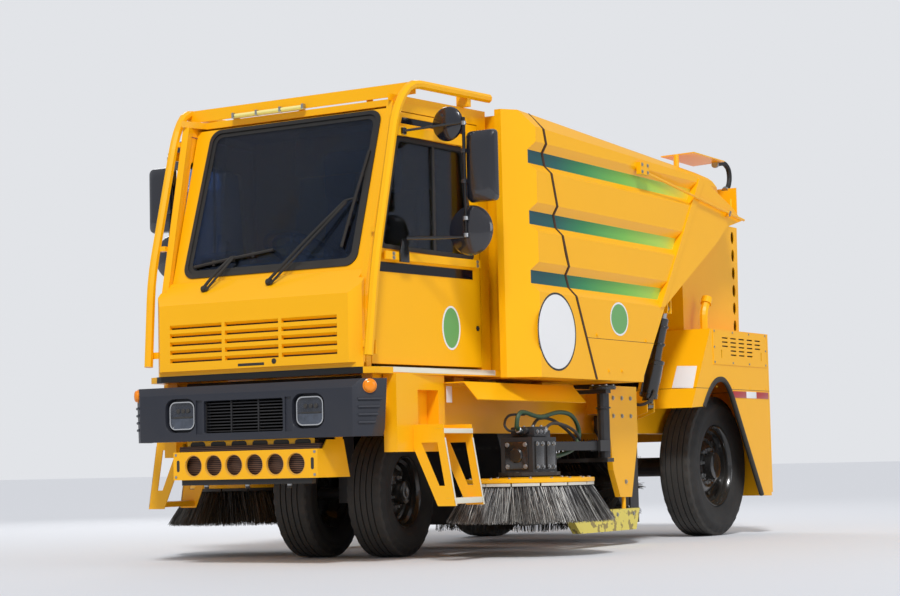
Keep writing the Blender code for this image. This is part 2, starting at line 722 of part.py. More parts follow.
screen_low = (frame_half(1.69) - 0.0012, -0.0443)
screen_high = (frame_half(2.68) - 0.0012, SCREEN_LENGTH + 0.018)
screen_frame = outline(
    [[(-screen_low[0], screen_low[1]), screen_low, screen_high, (-screen_high[0], screen_high[1])], opening],
    screen_view, -0.030, 0.006)
part(screen_frame, "windshield_frame", "yellow")
windshield = outline([pane], screen_view, -0.003, 0.004)

# Roof and rear wall
REAR_WALL_Y = (1.298, 1.338)
roof_plan = [(-flank_x(0.430) + 0.010, 0.430), (-0.700, 0.600), (0.700, 0.600), (flank_x(0.430) - 0.010, 0.430),
             (flank_x(1.347), 1.347), (-flank_x(1.347), 1.347)]
part(top_outline(roof_plan, CAB_TOP, CAB_TOP + ROOF_SHEET), "cab_roof", "yellow")
wall_half = flank_x(REAR_WALL_Y[0]) - SIDE_THICK / 2
back_hole = rectangle(-0.300, 2.280, 0.300, 2.590, 0.050)
back_wall = front_outline(rectangle(-wall_half, FLOOR_TOP + GAP, wall_half, CAB_TOP - GAP), *REAR_WALL_Y,
                          holes=[back_hole])
join(back_wall, framed_side(1), framed_side(-1))
part(settled(back_wall), "cab_frame", "yellow")
part(front_outline(inset(back_hole, GAP), 1.315, 1.315 + GLASS_THICK), "rear_window", "glass")
part(windshield, "windshield", "glass")

# Guard tubes over the corners of the cab, with the visor channel between them
GUARD_OUT = 0.042
GUARD_PATH = (
    {"y": 0.125, "z": 1.190, "x": 0.800},
    {"y": 0.186, "z": 1.739, "x": 0.820},
    {"y": 0.333, "z": 2.276, "x": 0.820},
    {"y": 0.433, "z": 2.642, "x": 0.820},
    {"y": 0.555, "z": 2.812, "x": 0.840},
    {"y": 1.330, "z": 2.815, "x": 0.932},
)
guards = None
for side in (1, -1):
    bar = tube([(side * step["x"], step["y"], step["z"]) for step in GUARD_PATH], GUARD_RADIUS, bend=0.14)
    guards = bar if guards is None else join(guards, bar)
    # rear stay down to the roof edge, a tab to the nose and two to the front pillar
    join(guards, mirrored_box((0.835, 1.100, CAB_TOP + ROOF_SHEET + GAP), (0.915, 1.140, 2.806), side))
    join(guards, mirrored_box((NOSE_HALF - 0.0005 + GAP, 0.150, 1.240), (0.805, 0.170, 1.280), side))
    for tab in ({"along": (0.060, 0.110), "foot": 1.905, "out": 0.055},
                {"along": (0.245, 0.285), "foot": 2.575, "out": 0.030}):
        loop = rectangle(tab["along"][0], tab["foot"], tab["along"][1], tab["foot"] + 0.030)
        join(guards, flank_outline(side, loop, GAP, tab["out"]))
visor = [(0.600, 2.751), (0.608, 2.751), (0.613, 2.820), (0.665, 2.820), (0.665, 2.828), (0.605, 2.828)]
join(guards, side_outline(visor, -0.852, 0.852))
for x in (0.500, 0.0, -0.500):
    join(guards, box((x - 0.020, 0.640, CAB_TOP + ROOF_SHEET + GAP), (x + 0.020, 0.655, 2.824)))
part(settled(guards), "cab_guard", "yellow")

# Doors: panel, two panes, the bolted guard bars and the mirrors on their arm



def beside_edge(height, clear):
    # a corner that keeps its distance from the door's slanted front edge
    return (door_edge(height) + clear, height)


WINDOW = (beside_edge(1.830, 0.0362), (1.016, 1.812), (0.935, 2.478), beside_edge(2.486, 0.03164))
TOP_LIGHT = (beside_edge(2.572, 0.04928), (0.945, 2.572), (0.945, 2.612), beside_edge(2.612, 0.05288))
LOW_LIGHT = (beside_edge(1.682, 0.02868), (1.016, 1.682), (1.016, 1.742), beside_edge(1.742, 0.02508))
BAR_OUT = 0.042


for side, word in ((1, "left"), (-1, "right")):
    hinge = pivot(word + "_door_pivot", tuple(flank_point(side, HINGE_ALONG, 0.0, HINGE_OUT)))
    outer = [(DOOR_FRONT, DOOR_BOTTOM), (DOOR_REAR, DOOR_BOTTOM), (DOOR_REAR, DOOR_TOP),
             (door_edge(DOOR_TOP), DOOR_TOP), (DOOR_FRONT, DOOR_BEND)]
    window = rounded(WINDOW, 0.030)
    door = flank_outline(side, outer, -DOOR_THICK, 0.0, holes=[window])
    for strip in (TOP_LIGHT, LOW_LIGHT):
        cut(door, flank_outline(side, strip, -0.006, 0.02))
    grip = rectangle(1.040, 1.370, 1.072, 1.402)
    cut(door, flank_outline(side, grip, -0.015, 0.02))
    pane = flank_outline(side, inset(window, GAP), -0.018, -0.018 + GLASS_THICK)
    part(pane, word + "_door_glass", "glass", hinge)
    for rail_row in (
            {"start": beside_edge(2.490, -0.0194)[0], "stop": 0.926, "low": 2.490, "high": 2.545},
            {"start": beside_edge(1.752, 0.05048)[0], "stop": 1.040, "low": 1.752, "high": 1.800}):
        loop = rectangle(rail_row["start"], rail_row["low"], rail_row["stop"], rail_row["high"])
        bar = flank_outline(side, loop, 0.030, BAR_OUT)
        for along in (rail_row["start"] + 0.073, rail_row["stop"] - 0.030):
            tab = rectangle(along - 0.025, rail_row["low"] + 0.003, along + 0.025, rail_row["high"] - 0.003)
            join(bar, flank_outline(side, tab, -0.004, 0.031))
        join(door, bar)
    for foot in HINGE_FEET:
        join(door, hinge_half(side, foot, DOOR_FRONT + 0.030))
    part(settled(door), word + "_door", "yellow", hinge)
    ARM_X = 1.105
    ARM_Y = 0.725
    low_foot = flank_point(side, 0.300, 1.776, BAR_OUT + GAP)
    low_knee = flank_point(side, 0.300, 1.880, BAR_OUT + 0.030)
    top_foot = flank_point(side, 0.320, 2.517, BAR_OUT + 0.012)
    clamp = flank_outline(side, rectangle(0.260, 1.740, 0.345, 1.880), BAR_OUT + GAP, BAR_OUT + 0.045)
    arm = tube([low_knee, (side * ARM_X, ARM_Y, 1.890), (side * ARM_X, ARM_Y, 2.600)], 0.011, bend=0.05)
    reach = tube([top_foot, (side * ARM_X, ARM_Y - 0.002, 2.570)], 0.008)
    top_clamp = flank_outline(side, rectangle(0.300, 2.497, 0.340, 2.537), BAR_OUT + GAP, BAR_OUT + 0.018)
    join(clamp, arm, reach, top_clamp)
    head_y0 = ARM_Y + 0.004
    casing = rectangle(1.100, 2.095, 1.300, 2.520, 0.030)
    head = front_outline([(side * x, z) for x, z in casing], head_y0, head_y0 + 0.060)
    low_round = cylinder((side * 1.113, head_y0, 1.932), (side * 1.113, head_y0 + 0.045, 1.932), 0.145, 28,
                         end_radius=0.150)
    top_round = cylinder((side * 0.993, 0.700, 2.573), (side * 0.993, 0.735, 2.573), 0.095, 24, end_radius=0.105)
    join(clamp, head, low_round, top_round)
    part(settled(clamp), word + "_mirrors", "black", hinge)

# Cab inside: seat, dash hood, steering column and wheel, control box
SEAT_X = 0.0
SEAT_TOP = 1.560
seat = box((SEAT_X - 0.200, 0.800, FLOOR_TOP + GAP), (SEAT_X + 0.200, 1.140, SEAT_TOP + 0.010))
cushion = box((SEAT_X - 0.240, 0.740, SEAT_TOP), (SEAT_X + 0.240, 1.180, SEAT_TOP + 0.120))
backrest = side_outline([(1.060, SEAT_TOP + 0.100), (1.170, SEAT_TOP + 0.100), (1.265, 2.300), (1.180, 2.300)],
                        SEAT_X - 0.230, SEAT_X + 0.230)
join(cushion, backrest, seat)
part(settled(cushion), "seat", "cloth")
dash = side_outline([(0.330, FLOOR_TOP + GAP), (0.470, FLOOR_TOP + GAP), (0.560, 1.720), (0.520, 1.810),
                     (0.400, 1.800), (0.330, 1.690)], -0.300, 0.320)
control_box = box((-0.640, 0.440, FLOOR_TOP + GAP), (-0.400, 0.640, 1.860))
join(dash, control_box, box((-0.410, 0.450, FLOOR_TOP + GAP), (-0.290, 0.470, 1.690)))
WHEEL_CENTRE = Vector((SEAT_X, 0.640, 1.870))
column_axis = Vector((0.0, 0.5, 0.866))
column_foot = Vector((SEAT_X, 0.5405, 1.6950))
helm = turned([(0.190 + 0.014 * math.cos(2 * math.pi * k / 6), 0.014 * math.sin(2 * math.pi * k / 6))
               for k in reversed(range(6))], WHEEL_CENTRE, (-math.radians(30), 0.0, 0.0), 20)
join(helm, cylinder(WHEEL_CENTRE - column_axis * 0.030, WHEEL_CENTRE + column_axis * 0.012, 0.045, 16))
across = Vector((1.0, 0.0, 0.0))
join(helm, cylinder(WHEEL_CENTRE - across * 0.188, WHEEL_CENTRE + across * 0.188, 0.009, 8))
join(dash, helm, cylinder(WHEEL_CENTRE - column_axis * 0.160, WHEEL_CENTRE - column_axis * 0.020, 0.030, 16))
part(settled(dash), "dash_console", "grey")


# Side skirts with a foot pocket, and the hanging steps
SKIRT_OUT = 0.850
SKIRT_FRONT = 0.330
SKIRT_REAR = 0.860
STEP_FRONT = 0.506
STEP_REAR = 0.830
STEP_SHEET = 0.006


def skirt(side):
    body = mirrored_box((RAIL_OUTER + GAP, SKIRT_FRONT, 0.640), (SKIRT_OUT, SKIRT_REAR, FLOOR_BOTTOM - GAP), side)
    cut(body, mirrored_box((RAIL_OUTER + 0.010, 0.560, 0.800), (1.0, 0.790, 1.000), side))
    return body


STEP_PLATE = ((SKIRT_OUT - 0.002, 0.795), (SKIRT_OUT - 0.002, 0.661), (1.005, 0.324), (1.125, 0.324),
              (1.058, 0.716), (1.052, 0.795))
STEP_WINDOW = ((0.900, 0.690), (1.015, 0.440), (1.055, 0.440), (1.010, 0.690))


def step(side):
    plates = []
    for y in (STEP_FRONT, STEP_REAR - STEP_SHEET):
        loop = [(side * x, z) for x, z in STEP_PLATE]
        hole = [(side * x, z) for x, z in STEP_WINDOW]
        plates.append(front_outline(loop, y, y + STEP_SHEET, holes=[hole]))
    inner_y = (STEP_FRONT + 0.003, STEP_REAR - 0.003)
    upper = mirrored_box((SKIRT_OUT - 0.002, inner_y[0], 0.740), (1.054, inner_y[1], 0.768), side)
    lower = mirrored_box((1.015, inner_y[0], 0.335), (1.115, inner_y[1], 0.368), side)
    return join(skirt(side), *plates, upper, lower)


# Fixed section ahead of the hopper and the hopper itself share one cross section
GROOVES = (
    {"top": 2.527, "inner_top": 2.476, "inner_bottom": 2.396, "bottom": 2.349},
    {"top": 2.150, "inner_top": 2.099, "inner_bottom": 2.019, "bottom": 1.971},
    {"top": 1.783, "inner_top": 1.733, "inner_bottom": 1.655, "bottom": 1.600},
)
ROOF_FALL = 0.100
SHOULDER_FALL = 0.055
ROOF_FROM = 1.370
ROOF_TO = 3.900


def flank_profile(side, wall):
    # from the roof's shoulder down to the floor on one side
    outer = BODY_HALF - wall
    groove = BODY_HALF - GROOVE_DEPTH - wall
    pull = wall * 0.7
    points = [(BODY_HALF - SHOULDER_IN - pull, BODY_TOP - wall), (outer, BODY_TOP - SHOULDER_DROP - pull)]
    for row in GROOVES:
        points += [(outer, row["top"] + pull), (groove, row["inner_top"] + pull),
                   (groove, row["inner_bottom"] - pull), (outer, row["bottom"] - pull)]
    points.append((outer, BODY_BOTTOM + wall))
    return [(side * x, z) for x, z in points]


def fall_with_length(made):
    # the roof drops towards the rear, and the shoulder under it by less
    for vertex in made.data.vertices:
        share = (vertex.co.y - ROOF_FROM) / (ROOF_TO - ROOF_FROM)
        if vertex.co.z > BODY_TOP - SHOULDER_DROP / 2:
            vertex.co.z -= ROOF_FALL * share
        elif vertex.co.z > BODY_TOP - SHOULDER_DROP * 1.2:
            vertex.co.z -= SHOULDER_FALL * share
    return made


def body_block(wall, front, rear, right):
    loop = flank_profile(1, wall) + list(reversed(right))
    return fall_with_length(front_outline(loop, front, rear))


def shifted(points, amount):
    return [(y + amount, z) for y, z in points]


def line_to(points, height, below):
    # the parting line carried on past the roof and the floor
    first, second = (points[0], points[1]) if not below else (points[-1], points[-2])
    share = (height - first[1]) / (second[1] - first[1])
    return (first[0] + (second[0] - first[0]) * share, height)


full_right = flank_profile(-1, 0.0)
section = body_block(0.0, 1.10, 2.30, full_right)
fixed_line = shifted(PART_LINE, -PART_GAP / 2)
top_out = line_to(fixed_line, 3.0, False)
low_out = line_to(fixed_line, 0.9, True)
keep_common(section, side_outline([(1.15, 0.9), low_out, fixed_line[1], top_out, (1.15, 3.0)], -BODY_REACH, BODY_REACH))
inner_line = shifted(fixed_line, -BODY_WALL)
hollow = body_block(BODY_WALL, SECTION_FRONT + BODY_WALL, 2.30, flank_profile(-1, BODY_WALL))
keep_common(hollow, side_outline([(1.3, 0.9), line_to(inner_line, 0.9, True), inner_line[1],
                                  line_to(inner_line, 3.0, False), (1.3, 3.0)], -BODY_REACH, BODY_REACH))
cut(section, hollow)
cut(section, box((-FAIRING_HALF, 1.0, 0.9), (FAIRING_HALF, SECTION_FRONT, 3.0)))
for side in (1, -1):
    cheek_out = FAIRING_HALF + 0.045
    cheek_far = BODY_HALF + 0.080
    wedge = [(side * cheek_far, FAIRING_FRONT - 0.20), (side * cheek_far, FAIRING_FRONT + (cheek_far - cheek_out) * CHEEK_DEEP / (BODY_HALF - cheek_out)),
             (side * cheek_out, FAIRING_FRONT), (side * (cheek_out - 0.20), FAIRING_FRONT),
             (side * (cheek_out - 0.20), FAIRING_FRONT - 0.20)]
    cut(section, top_outline(wedge, 0.9, 3.0))
    # the fairing's inside follows its outside one wall further in
    back = [(side * (BODY_HALF - 0.050), SECTION_FRONT + 0.02), (side * (BODY_HALF - 0.050), FAIRING_FRONT + CHEEK_DEEP - 0.023),
            (side * (FAIRING_HALF + 0.048), FAIRING_FRONT + 0.017), (side * (FAIRING_HALF - 0.01), FAIRING_FRONT + 0.017),
            (side * (FAIRING_HALF - 0.01), SECTION_FRONT),
            (side * (FAIRING_HALF + 0.006), SECTION_FRONT + 0.02)]
    cut(section, top_outline(back, 0.9, BODY_TOP - 0.16))
DISCHARGE = ((-0.600, 2.050), (0.600, 2.500))
discharge_low = (DISCHARGE[0][0], 1.45, DISCHARGE[0][1])
discharge_high = (DISCHARGE[1][0], 1.90, DISCHARGE[1][1])
cut(section, box(discharge_low, discharge_high))
chute_mouth = (CHUTE[3][0] + 0.012, CHUTE[2][0] - 0.014)
cut(section, box((-CHUTE_HALF + 0.010, chute_mouth[0], 1.0), (CHUTE_HALF - 0.010, chute_mouth[1], 1.100)))
part(settled(section), "elevator_housing", "yellow")

tipping = pivot("hopper_pivot", (TIP_X, 2.5, TIP_Z))
DOOR_SILL = BODY_BOTTOM + 0.030
DOOR_HEAD = BODY_TOP - SHOULDER_DROP - 0.155
RIM_X = BODY_HALF - GROOVE_DEPTH - 0.008
hopper_right = [(-BODY_HALF + SHOULDER_IN, BODY_TOP), (-BODY_HALF, BODY_TOP - SHOULDER_DROP),
                (-BODY_HALF, DOOR_HEAD + 0.075), (-RIM_X, DOOR_HEAD + 0.075), (-RIM_X, BODY_BOTTOM)]
hopper_line = shifted(PART_LINE, PART_GAP / 2)
hopper_side = [line_to(hopper_line, BODY_BOTTOM - 0.02, True), (2.800, BODY_BOTTOM - 0.02), (2.815, 1.120),
               (3.176, 1.604), (4.110, 2.130), (4.275, 2.250), (4.560, 2.320), (4.400, 2.400), (3.900, 2.625),
               (3.820, 3.0), line_to(hopper_line, 3.0, False), hopper_line[1]]
hopper = body_block(0.0, 1.30, 4.60, hopper_right)
band_front = [(3.095, 1.590), (3.176, 1.604), (4.110, 2.130), (4.275, 2.250), (4.560, 2.320), (4.400, 2.400),
              (3.900, 2.560), (3.800, 2.560)]
join(hopper, side_outline(band_front, BODY_HALF - 0.070, BODY_HALF - 0.0002))
join(hopper, side_outline([(3.095, 1.595), (3.165, 1.602), (3.885, 2.545), (3.800, 2.555)],
                         BODY_HALF - 0.020, BODY_HALF + 0.008))
keep_common(hopper, side_outline(hopper_side, -BODY_REACH, BODY_REACH))
hopper_inside = inset(hopper_side, BODY_WALL)
store = body_block(BODY_WALL, 1.20, 4.70, [(-RIM_X + 0.030, BODY_TOP - BODY_WALL), (-RIM_X + 0.030, BODY_BOTTOM + BODY_WALL)])
keep_common(store, side_outline(hopper_inside, -BODY_REACH - 0.1, BODY_REACH))
cut(hopper, store)
mouth = inset([hopper_side[0], (2.780, BODY_BOTTOM - 0.020), (3.176, 1.604), (4.110, 2.130), (4.180, 2.250),
               (3.890, 2.620), *hopper_side[9:]], 0.040)
mouth_cut = side_outline(mouth, -BODY_REACH - 0.1, -RIM_X + 0.05)
keep_common(mouth_cut, box((-BODY_REACH - 0.2, 1.0, DOOR_SILL), (0.0, 5.0, DOOR_HEAD)))
cut(hopper, mouth_cut)
cut(hopper, box(discharge_low, discharge_high))
end_plate = box((-BODY_HALF + 0.120, 4.470, 2.330), (BODY_HALF - 0.002, 4.482, 2.560))
join(hopper, end_plate)
TIP_LUGS = (
    {"start": 2.480, "width": 0.050, "top": BODY_BOTTOM + 0.003},
    {"start": 3.115, "width": 0.050, "top": 1.610},
)
for row in TIP_LUGS:
    y = row["start"]
    lug = front_outline(rounded([(TIP_X - 0.036, TIP_Z - 0.036), (TIP_X + 0.036, TIP_Z - 0.036),
                                 (TIP_X + 0.055, row["top"]), (TIP_X - 0.050, row["top"])], 0.012),
                        y, y + row["width"])
    cut(lug, cylinder((TIP_X, y - 0.1, TIP_Z), (TIP_X, y + 0.2, TIP_Z), TIP_PIN + RUNNING, 16))
    join(hopper, lug)
head_x, head_z2 = RAM_HEAD
for y in (RAM_Y - 0.034, RAM_Y + 0.022):
    ear = front_outline([(head_x - 0.035, head_z2 - 0.035), (head_x + 0.035, head_z2 - 0.035),
                         (head_x + 0.035, 1.700), (head_x - 0.035, 1.700)], y, y + 0.012)
    join(hopper, ear)

# Dump door on the right side of the hopper, hung from a rod along the shoulder
dump = pivot("dump_door_pivot", (DOOR_HINGE_X, 2.6, DOOR_HINGE_Z), tipping)
door_top = DOOR_HEAD + 0.065
sheet = [(-x, z) for x, z in reversed(flank_profile(-1, 0.0))]
outer_run = [(-BODY_HALF, door_top)]
inner_run = [(-BODY_HALF + BODY_WALL, door_top)]
for row in GROOVES:
    if row["top"] > door_top:
        continue
    outer_run += [(-BODY_HALF, row["top"]), (-BODY_HALF + GROOVE_DEPTH, row["inner_top"]),
                  (-BODY_HALF + GROOVE_DEPTH, row["inner_bottom"]), (-BODY_HALF, row["bottom"])]
    inner_run += [(-BODY_HALF + BODY_WALL, row["top"] - 0.003),
                  (-BODY_HALF + GROOVE_DEPTH + BODY_WALL, row["inner_top"] - 0.003),
                  (-BODY_HALF + GROOVE_DEPTH + BODY_WALL, row["inner_bottom"] + 0.003),
                  (-BODY_HALF + BODY_WALL, row["bottom"] + 0.003)]
outer_run.append((-BODY_HALF, BODY_BOTTOM + 0.012))
inner_run.append((-BODY_HALF + BODY_WALL, BODY_BOTTOM + 0.012))
flap = front_outline(outer_run + list(reversed(inner_run)), 1.30, 4.60)
keep_common(flap, side_outline(inset(hopper_side, 0.008), -BODY_REACH - 0.1, -BODY_HALF + 0.320))
flap_pins = ((2.050, 2.110), (3.350, 3.410))
for start, stop in flap_pins:
    knuckle = front_outline([(-BODY_HALF + 0.024, door_top - 0.0315), (-BODY_HALF + 0.0025, door_top - 0.0025),
                             (DOOR_HINGE_X + 0.010, DOOR_HINGE_Z + 0.012), (DOOR_HINGE_X - 0.014, DOOR_HINGE_Z + 0.014),
                             (DOOR_HINGE_X - 0.016, DOOR_HINGE_Z - 0.014), (DOOR_HINGE_X - 0.008, door_top - 0.030)],
                            start, stop)
    cut(knuckle, cylinder((DOOR_HINGE_X, start - 0.1, DOOR_HINGE_Z), (DOOR_HINGE_X, stop + 0.1, DOOR_HINGE_Z),
                          0.008 + RUNNING, 12))
    join(flap, knuckle)
part(settled(flap), "hopper_dump_door", "yellow", dump)
rod_set = cylinder((DOOR_HINGE_X, 2.000, DOOR_HINGE_Z), (DOOR_HINGE_X, 3.460, DOOR_HINGE_Z), 0.008, 12)
for y in (2.005, 2.720, 3.430):
    hook = front_outline([(-BODY_HALF + 0.002, DOOR_HINGE_Z - 0.014), (-BODY_HALF + 0.002, DOOR_HINGE_Z - 0.002),
                          (DOOR_HINGE_X - 0.012, DOOR_HINGE_Z + 0.012), (DOOR_HINGE_X - 0.012, DOOR_HINGE_Z - 0.014)],
                         y, y + 0.020)
    join(rod_set, hook)
join(hopper, rod_set)

# Tip hinges on the frame: a pin between two webs for each lug
TIP_WEB = 0.014
for row in TIP_LUGS:
    start = row["start"] - RUNNING - TIP_WEB
    stop = row["start"] + row["width"] + RUNNING + TIP_WEB
    tip_bracket = box((-RAIL_OUTER - 0.020, start, 0.870), (-RAIL_OUTER + 0.004, stop, 0.990))
    for low in (start, stop - TIP_WEB):
        web = front_outline([(-RAIL_OUTER - 0.004, 0.874), (-RAIL_OUTER - 0.004, 0.986), (TIP_X + 0.060, TIP_Z - 0.020),
                             (TIP_X + 0.025, TIP_Z + 0.028), (TIP_X - 0.022, TIP_Z + 0.028),
                             (TIP_X - 0.026, TIP_Z - 0.026)], low, low + TIP_WEB)
        join(tip_bracket, web)
    join(tip_bracket, cylinder((TIP_X, start - 0.008, TIP_Z), (TIP_X, stop + 0.008, TIP_Z), TIP_PIN, 16))
    join(frame, tip_bracket)

# Telescopic ram: foot bracket on the frame, barrel and three nested stages
foot_x, foot_z3 = RAM_FOOT
bracket = None
for y in (RAM_Y - 0.062, RAM_Y + 0.047):
    cheek_plate = front_outline([(RAIL_OUTER + 0.002, 0.800), (foot_x + 0.030, foot_z3 - 0.050),
                                 (foot_x + 0.030, foot_z3 + 0.030), (foot_x - 0.030, foot_z3 + 0.030),
                                 (RAIL_OUTER + 0.002, 0.940)], y, y + 0.015)
    bracket = cheek_plate if bracket is None else join(bracket, cheek_plate)
join(bracket, cylinder((foot_x, RAM_Y - 0.060, foot_z3), (foot_x, RAM_Y + 0.060, foot_z3), 0.014, 16))
join(bracket, box((RAIL_OUTER - 0.004, RAM_Y - 0.060, 0.805), (RAIL_OUTER + 0.012, RAM_Y + 0.060, 0.935)))
join(frame, bracket)
foot = Vector((foot_x, RAM_Y, foot_z3))
crown = Vector((head_x, RAM_Y, head_z2))
ram_dir = (crown - foot).normalized()
ram_length = (crown - foot).length
barrel_pivot = pivot("ram_foot_pivot", tuple(foot))
barrel_end = ram_length - 0.072


def sleeve(start, stop, outer, inner, floor=0.0):
    body = cylinder(foot + ram_dir * start, foot + ram_dir * stop, outer, 20)
    return cut(body, cylinder(foot + ram_dir * (start + floor), foot + ram_dir * (stop + 0.05), inner, 20))


barrel = sleeve(0.026, barrel_end, RAM_RADIUS, RAM_RADIUS - RAM_WALL, 0.020)
eye = cylinder(foot + Vector((0, -0.040, 0)), foot + Vector((0, 0.040, 0)), 0.034, 20)
join(barrel, eye)
cut(barrel, cylinder(foot + Vector((0, -0.1, 0)), foot + Vector((0, 0.1, 0)), 0.014 + RUNNING, 16))
part(settled(barrel), "ram_barrel", "black", barrel_pivot)
STAGE_START = 0.050
carrier = barrel_pivot
for stage in range(1, RAM_STAGES):
    outer = RAM_RADIUS - stage * (RAM_WALL + RUNNING)
    inner = outer - RAM_WALL
    slide_pivot = pivot("ram_stage_%d_pivot" % stage, tuple(foot), carrier)
    collar = barrel_end + 0.006 * stage
    body = sleeve(STAGE_START + 0.004 * stage, collar, outer, inner)
    part(settled(body), "ram_stage_%d" % stage, "steel", slide_pivot)
    carrier = slide_pivot
rod_pivot = pivot("ram_rod_pivot", tuple(foot), carrier)
rod_radius = RAM_RADIUS - RAM_STAGES * (RAM_WALL + RUNNING)
ram_rod = cylinder(foot + ram_dir * (STAGE_START + 0.012), crown - ram_dir * 0.020, rod_radius, 16)
join(ram_rod, cylinder(crown + Vector((0, -0.018, 0)), crown + Vector((0, 0.018, 0)), 0.028, 16))
pin_reach = Vector((0, 0.022 - GAP, 0))
join(ram_rod, cylinder(crown - pin_reach, crown + pin_reach, 0.012, 12))
part(settled(ram_rod), "ram_rod", "steel", rod_pivot)

# Tie rod, roof bracket, beacon stand and hose that ride on the hopper
rod_start = Vector((BODY_HALF + 0.022, 2.860, 2.500))
rod_stop = Vector((BODY_HALF + 0.022, 4.545, 2.322))
tie_rod = cylinder(rod_start, rod_stop, 0.009, 10)
join(tie_rod, box((BODY_HALF - 0.003, 2.800, 2.480), (BODY_HALF + 0.030, 2.930, 2.560)))
join(tie_rod, box((BODY_HALF - 0.003, 4.250, 2.325), (BODY_HALF + 0.030, 4.290, 2.365)))
post = cylinder((BODY_HALF - 0.160, 3.780, 2.620), (BODY_HALF - 0.160, 3.780, 2.742), 0.020, 12)
BEACON_PLATE = ((BODY_HALF - 0.290, 3.800), (BODY_HALF - 0.010, 3.760), (BODY_HALF - 0.020, 4.320),
                (BODY_HALF - 0.300, 4.380))
join(post, top_outline(BEACON_PLATE, 2.738, 2.746))
join(hopper, tie_rod, post)
part(settled(hopper), "hopper", "yellow", tipping)

# Gutter brooms: swing sleeve on a fixed pin, lift arm with motor, disc and bristles
for side, word in ((1, "left"), (-1, "right")):
    post_x, post_y = KERB_POST
    lower = mirrored_box((RAIL_OUTER - 0.060, post_y - 0.045, 0.555), (post_x + 0.045, post_y + 0.045, 0.580), side)
    head = KERB_HEAD[side]
    upper = mirrored_box((RAIL_OUTER + GAP, post_y - 0.035, head), (post_x + 0.040, post_y + 0.035, head + 0.025), side)
    hang = mirrored_box((RAIL_OUTER - 0.060, post_y - 0.045, 0.556), (RAIL_OUTER - 0.040, post_y + 0.045,
                                                                   RAIL_BOTTOM - GAP), side)
    cap = cylinder((side * post_x, post_y, head + 0.024), (side * post_x, post_y, head + (0.048 if side > 0 else 0.040)), 0.085, 16)
    post_pin = cylinder((side * post_x, post_y, 0.560), (side * post_x, post_y, head + 0.030), KERB_PIN, 12)
    join(lower, hang, post_pin, upper, cap)
    part(settled(lower), word + "_broom_post", "black")
    swing = pivot(word + "_broom_swing_pivot", (side * post_x, post_y, 0.66))
    collar = cylinder((side * post_x, post_y, 0.580 + 0.002), (side * post_x, post_y, head - 0.002), 0.040, 12)
    yoke = mirrored_box((post_x - 0.045, KERB_LIFT_Y - 0.030, 0.625), (post_x - 0.025, post_y, 0.695), side)
    yoke2 = mirrored_box((post_x + 0.025, KERB_LIFT_Y - 0.030, 0.625), (post_x + 0.045, post_y, 0.695), side)
    join(collar, yoke, yoke2)
    cut(collar, cylinder((side * post_x, post_y, 0.5), (side * post_x, post_y, 1.1), KERB_PIN + RUNNING, 12))
    join(collar, cylinder((side * (post_x - 0.040), KERB_LIFT_Y, KERB_LIFT_Z),
                          (side * (post_x + 0.040), KERB_LIFT_Y, KERB_LIFT_Z), 0.012, 12))
    part(settled(collar), word + "_broom_swing", "black", swing)
    lift = pivot(word + "_broom_lift_pivot", (side * post_x, KERB_LIFT_Y, KERB_LIFT_Z), swing)
    arm_loop = [(side * (post_x - 0.0235), KERB_LIFT_Y + 0.028), (side * (post_x + 0.0235), KERB_LIFT_Y + 0.028),
                (side * (post_x + 0.0235), KERB_LIFT_Y - 0.040), (side * (KERB_X + 0.040), 1.560),
                (side * (KERB_X - 0.040), 1.560), (side * (post_x - 0.0235), KERB_LIFT_Y - 0.040)]
    arm = top_outline(arm_loop, 0.632, 0.688)
    cut(arm, cylinder((side * (post_x - 0.1), KERB_LIFT_Y, KERB_LIFT_Z),
                      (side * (post_x + 0.1), KERB_LIFT_Y, KERB_LIFT_Z), 0.012 + RUNNING, 12))
    motor = mirrored_box((KERB_X - 0.110, KERB_Y - 0.150, 0.500), (KERB_X + 0.110, KERB_Y + 0.150, 0.715), side)
    base = cylinder((side * KERB_X, KERB_Y, 0.482), (side * KERB_X, KERB_Y, 0.504), 0.190, 24)
    shaft = cylinder((side * KERB_X, KERB_Y, 0.448), (side * KERB_X, KERB_Y, 0.490), 0.018, 12)
    join(arm, motor, base, shaft)
    part(settled(arm), word + "_broom_motor", "black", lift)
    spin = pivot(word + "_broom_spin_pivot", (side * KERB_X, KERB_Y, KERB_DISC_Z), lift)
    disc = turned([(0.018 + RUNNING, 0.036), (0.060, 0.036), (0.065, 0.012), (KERB_DISC, 0.012),
                   (KERB_DISC, -0.020), (KERB_DISC - 0.040, -0.020), (KERB_DISC - 0.040, 0.004),
                   (0.018 + RUNNING, 0.004)], (side * KERB_X, KERB_Y, KERB_DISC_Z), (0, 0, 0), 28)
    drop = KERB_TIP_Z - KERB_DISC_Z
    bristles = turned([(KERB_DISC - 0.012, 0.006), (KERB_TIP, drop), (KERB_TIP - 0.080, drop),
                       (KERB_DISC - 0.105, 0.006)], (side * KERB_X, KERB_Y, KERB_DISC_Z), (0, 0, 0), 28)
    join(disc, bristles)
    part(settled(disc), word + "_gutter_broom", "bristle", spin)


# Sheet covers over the gutter brooms
def cover(side):
    loop = [(RAIL_OUTER + GAP, 1.026), (RAIL_OUTER + GAP, 1.048), (0.990, 1.050), (1.085, 0.941),
            (1.080, 0.937), (0.987, 1.044), (RAIL_OUTER + 0.010, 1.042), (RAIL_OUTER + 0.010, 1.026)]
    return front_outline([(side * x, z) for x, z in loop], SKIRT_REAR - 0.004, 2.230)


for side, word in ((1, "left"), (-1, "right")):
    part(settled(join(step(side), cover(side))), word + "_side_skirt", "yellow")


